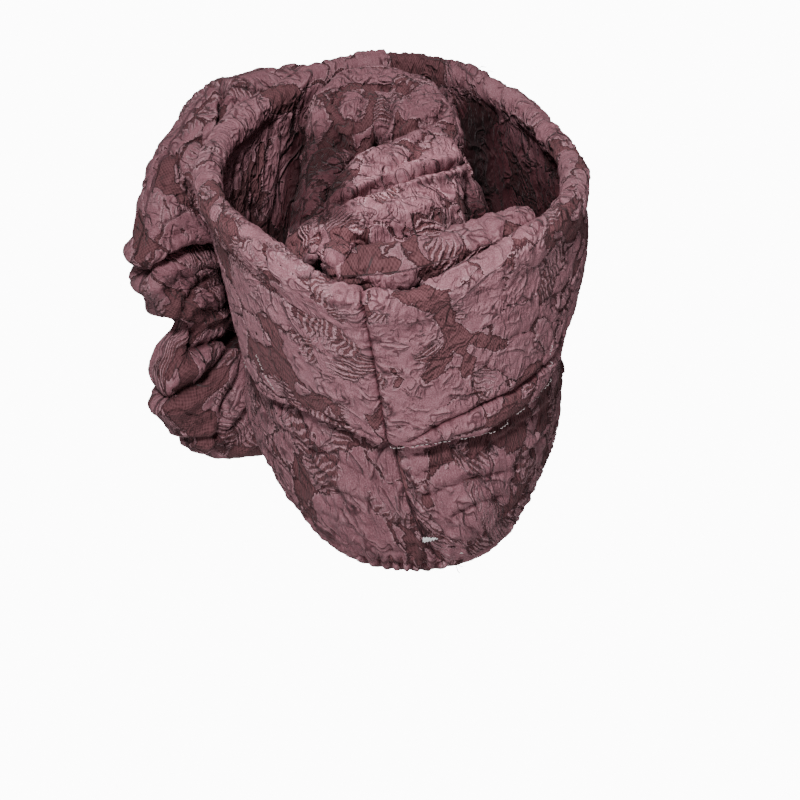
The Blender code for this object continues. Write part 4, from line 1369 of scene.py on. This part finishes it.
def topstitching():
    parts = []
    for first, last in STITCH_RUNS:
        path = foot_path(first, last)
        # round the path off, then cut it into stitches
        for _ in range(3):
            path[1:-1] = 0.5 * path[1:-1] + 0.25 * (path[:-2] + path[2:])
        run = np.concatenate([[0], np.cumsum(np.linalg.norm(np.diff(path, axis=0), axis=1))])
        at = 0.0
        k = 0
        while at + 3.0 < run[-1]:
            long = 1.9 + 0.3 * math.sin(k * 2.3)
            t = at + np.linspace(0, long, 6)
            q = np.stack([np.interp(t, run, path[:, c]) for c in range(3)], -1)
            middle = q.mean(0) * np.array([1, 1, 0])
            out = middle / np.linalg.norm(middle)
            dip = np.array([-0.9, -0.1, 0.1, 0.1, -0.1, -0.9])[:, None]
            if math.sin(k * 5.1) < 0.75:
                parts.append(tube(q + out * dip, 0.145))
            at += long + 0.6
            k += 1
    small_piece("foot_topstitching", parts, THREAD)


def on_cap(angle, z):
    """A point of the cap's outside at an angle and height."""
    t = np.linspace(0, 0.7, 400)
    run = cap_point(np.full(400, float(angle)), t)
    return run[int(np.argmin(np.abs(run[:, 2] - z)))]


def backing_and_threads():
    # a wedge of white backing that peeps out beside the cap's seam
    n, m = 16, 6
    verts = []
    for i in range(n):
        for j in range(m):
            f, g = i / (n - 1), j / (m - 1) - 0.5
            angle = 6.5 + 5.3 * f
            z = -24.5 + 0.6 * f + g * (2.7 * (1 - f) ** 0.6 + 0.4) + 0.45 * math.sin(i * 2.1)
            q = on_cap(angle, z)
            out = np.array([q[0], q[1], 0]) / np.hypot(q[0], q[1])
            verts.append(q + out * (2.3 + 0.3 * math.cos(g * 3) + 0.15 * math.sin(i * 1.7 + j)))
    verts = np.array(verts)
    small_piece("seam_backing", [(verts, [tuple(f) for f in grid_faces(n, m)])], BACKING)
    parts = []
    for k, (angle, z, run) in enumerate(((23, -44, ((0, 0, 0), (0.8, -0.5, -1.6), (1.2, -0.6, -3.2), (2.4, -0.4, -4.6))),
                                         (23.5, -43.6, ((0, 0, 0), (1.6, -0.7, -0.8), (3.2, -0.6, -1.2))),
                                         (23, -36, ((-0.6, -0.4, 0.2), (0.2, -0.6, 0.7), (1.0, -0.5, 0.2))))):
        q = on_cap(angle, z)
        out = np.array([q[0], q[1], 0]) / np.hypot(q[0], q[1])
        points = np.array(run, float)
        t = np.linspace(0, 1, 12)
        smooth_run = np.stack([np.interp(t, np.linspace(0, 1, len(points)), points[:, c]) for c in range(3)], -1)
        parts.append(tube(q + out * 0.8 + smooth_run, 0.2))
    for angle, dz in ((146, 0.0), (149, 0.6)):
        q = band_point(np.array([float(angle)]), np.array([0.5]))[0]
        parts.append(tube(np.array([q + [0, 0, 0.7 + dz], q + [2.0, -0.5, 1.6 + dz], q + [4.4, -1.2, 1.2 + dz]]), 0.2))
    small_piece("loose_threads", parts, THREAD)


# ---------------------------------------------------------------- build
band()
cap()
hem()
twist()
tuck()
coil("flower_outer_coil_cloth", OUTER_ROWS, COIL_SPLIT, 0.0, 560, 150, OUTER_CREASES, 13, ["flower_outer_coil"], FLOWER_BARE)
coil("flower_middle_coil_cloth", MIDDLE_ROWS, BUD_R + GAP, 8.0, 300, 100,
     tuple((at, 4, 3.0, 8, 0) for at in (-146, -74, 0, 72, 144)), 17, ["flower_middle_coil"])
bud()
topstitching()
backing_and_threads()

# ---------------------------------------------------------------- room, light, camera
def floor():
    bpy.ops.mesh.primitive_plane_add(size=12, location=(0, 0, -0.32))
    made = bpy.context.object
    made.name = "studio_floor"
    pale = bpy.data.materials.new("studio_floor")
    pale.use_nodes = True
    pale.node_tree.nodes["Principled BSDF"].inputs["Base Color"].default_value = (0.92, 0.92, 0.92, 1)
    pale.node_tree.nodes["Principled BSDF"].inputs["Roughness"].default_value = 0.9
    # seen straight on it is as white as the paper behind; it lights the cap as a pale floor does
    tree = pale.node_tree
    glow = tree.nodes.new("ShaderNodeEmission")
    glow.inputs["Strength"].default_value = 12.0
    both = tree.nodes.new("ShaderNodeMixShader")
    rays = tree.nodes.new("ShaderNodeLightPath")
    tree.links.new(rays.outputs["Is Camera Ray"], both.inputs[0])
    tree.links.new(tree.nodes["Principled BSDF"].outputs[0], both.inputs[1])
    tree.links.new(glow.outputs[0], both.inputs[2])
    tree.links.new(both.outputs[0], tree.nodes["Material Output"].inputs["Surface"])
    made.data.materials.append(pale)


def lamp(name, place, target, size, power, colour=(1, 1, 1)):
    data = bpy.data.lights.new(name, "AREA")
    data.shape = "DISK"
    data.size, data.energy, data.color = size, power, colour
    made = bpy.data.objects.new(name, data)
    made.location = place
    made.rotation_euler = (Vector(target) - Vector(place)).to_track_quat("-Z", "Y").to_euler()
    bpy.context.scene.collection.objects.link(made)


floor()
lamp("key", (-0.22, -1.28, 1.05), (0, -0.02, 0.06), 0.34, 31)

world = bpy.data.worlds.new("studio")
bpy.context.scene.world = world
world.use_nodes = True
sky = world.node_tree
back = sky.nodes["Background"]
back.inputs["Color"].default_value = (1.0, 0.91, 0.925, 1)
back.inputs["Strength"].default_value = 0.18
white = sky.nodes.new("ShaderNodeBackground")
white.inputs["Color"].default_value = (1, 1, 1, 1)
white.inputs["Strength"].default_value = 12.0
rays = sky.nodes.new("ShaderNodeLightPath")
choose = sky.nodes.new("ShaderNodeMixShader")
sky.links.new(rays.outputs["Is Camera Ray"], choose.inputs[0])
sky.links.new(back.outputs[0], choose.inputs[1])
sky.links.new(white.outputs[0], choose.inputs[2])
sky.links.new(choose.outputs[0], sky.nodes["World Output"].inputs["Surface"])

ELEVATION, FAR, AIM = 12.0, 1.3, (-0.0022, 0.0, 0.033)
camera_data = bpy.data.cameras.new("camera")
camera_data.lens = 104.5
camera_data.sensor_width = 36
camera = bpy.data.objects.new("camera", camera_data)
e = math.radians(ELEVATION)
camera.location = (AIM[0], AIM[1] - FAR * math.cos(e), AIM[2] + FAR * math.sin(e))
camera.rotation_euler = (math.radians(90 - ELEVATION), 0, 0)
bpy.context.scene.collection.objects.link(camera)
bpy.context.scene.camera = camera

bpy.context.view_layer.update()
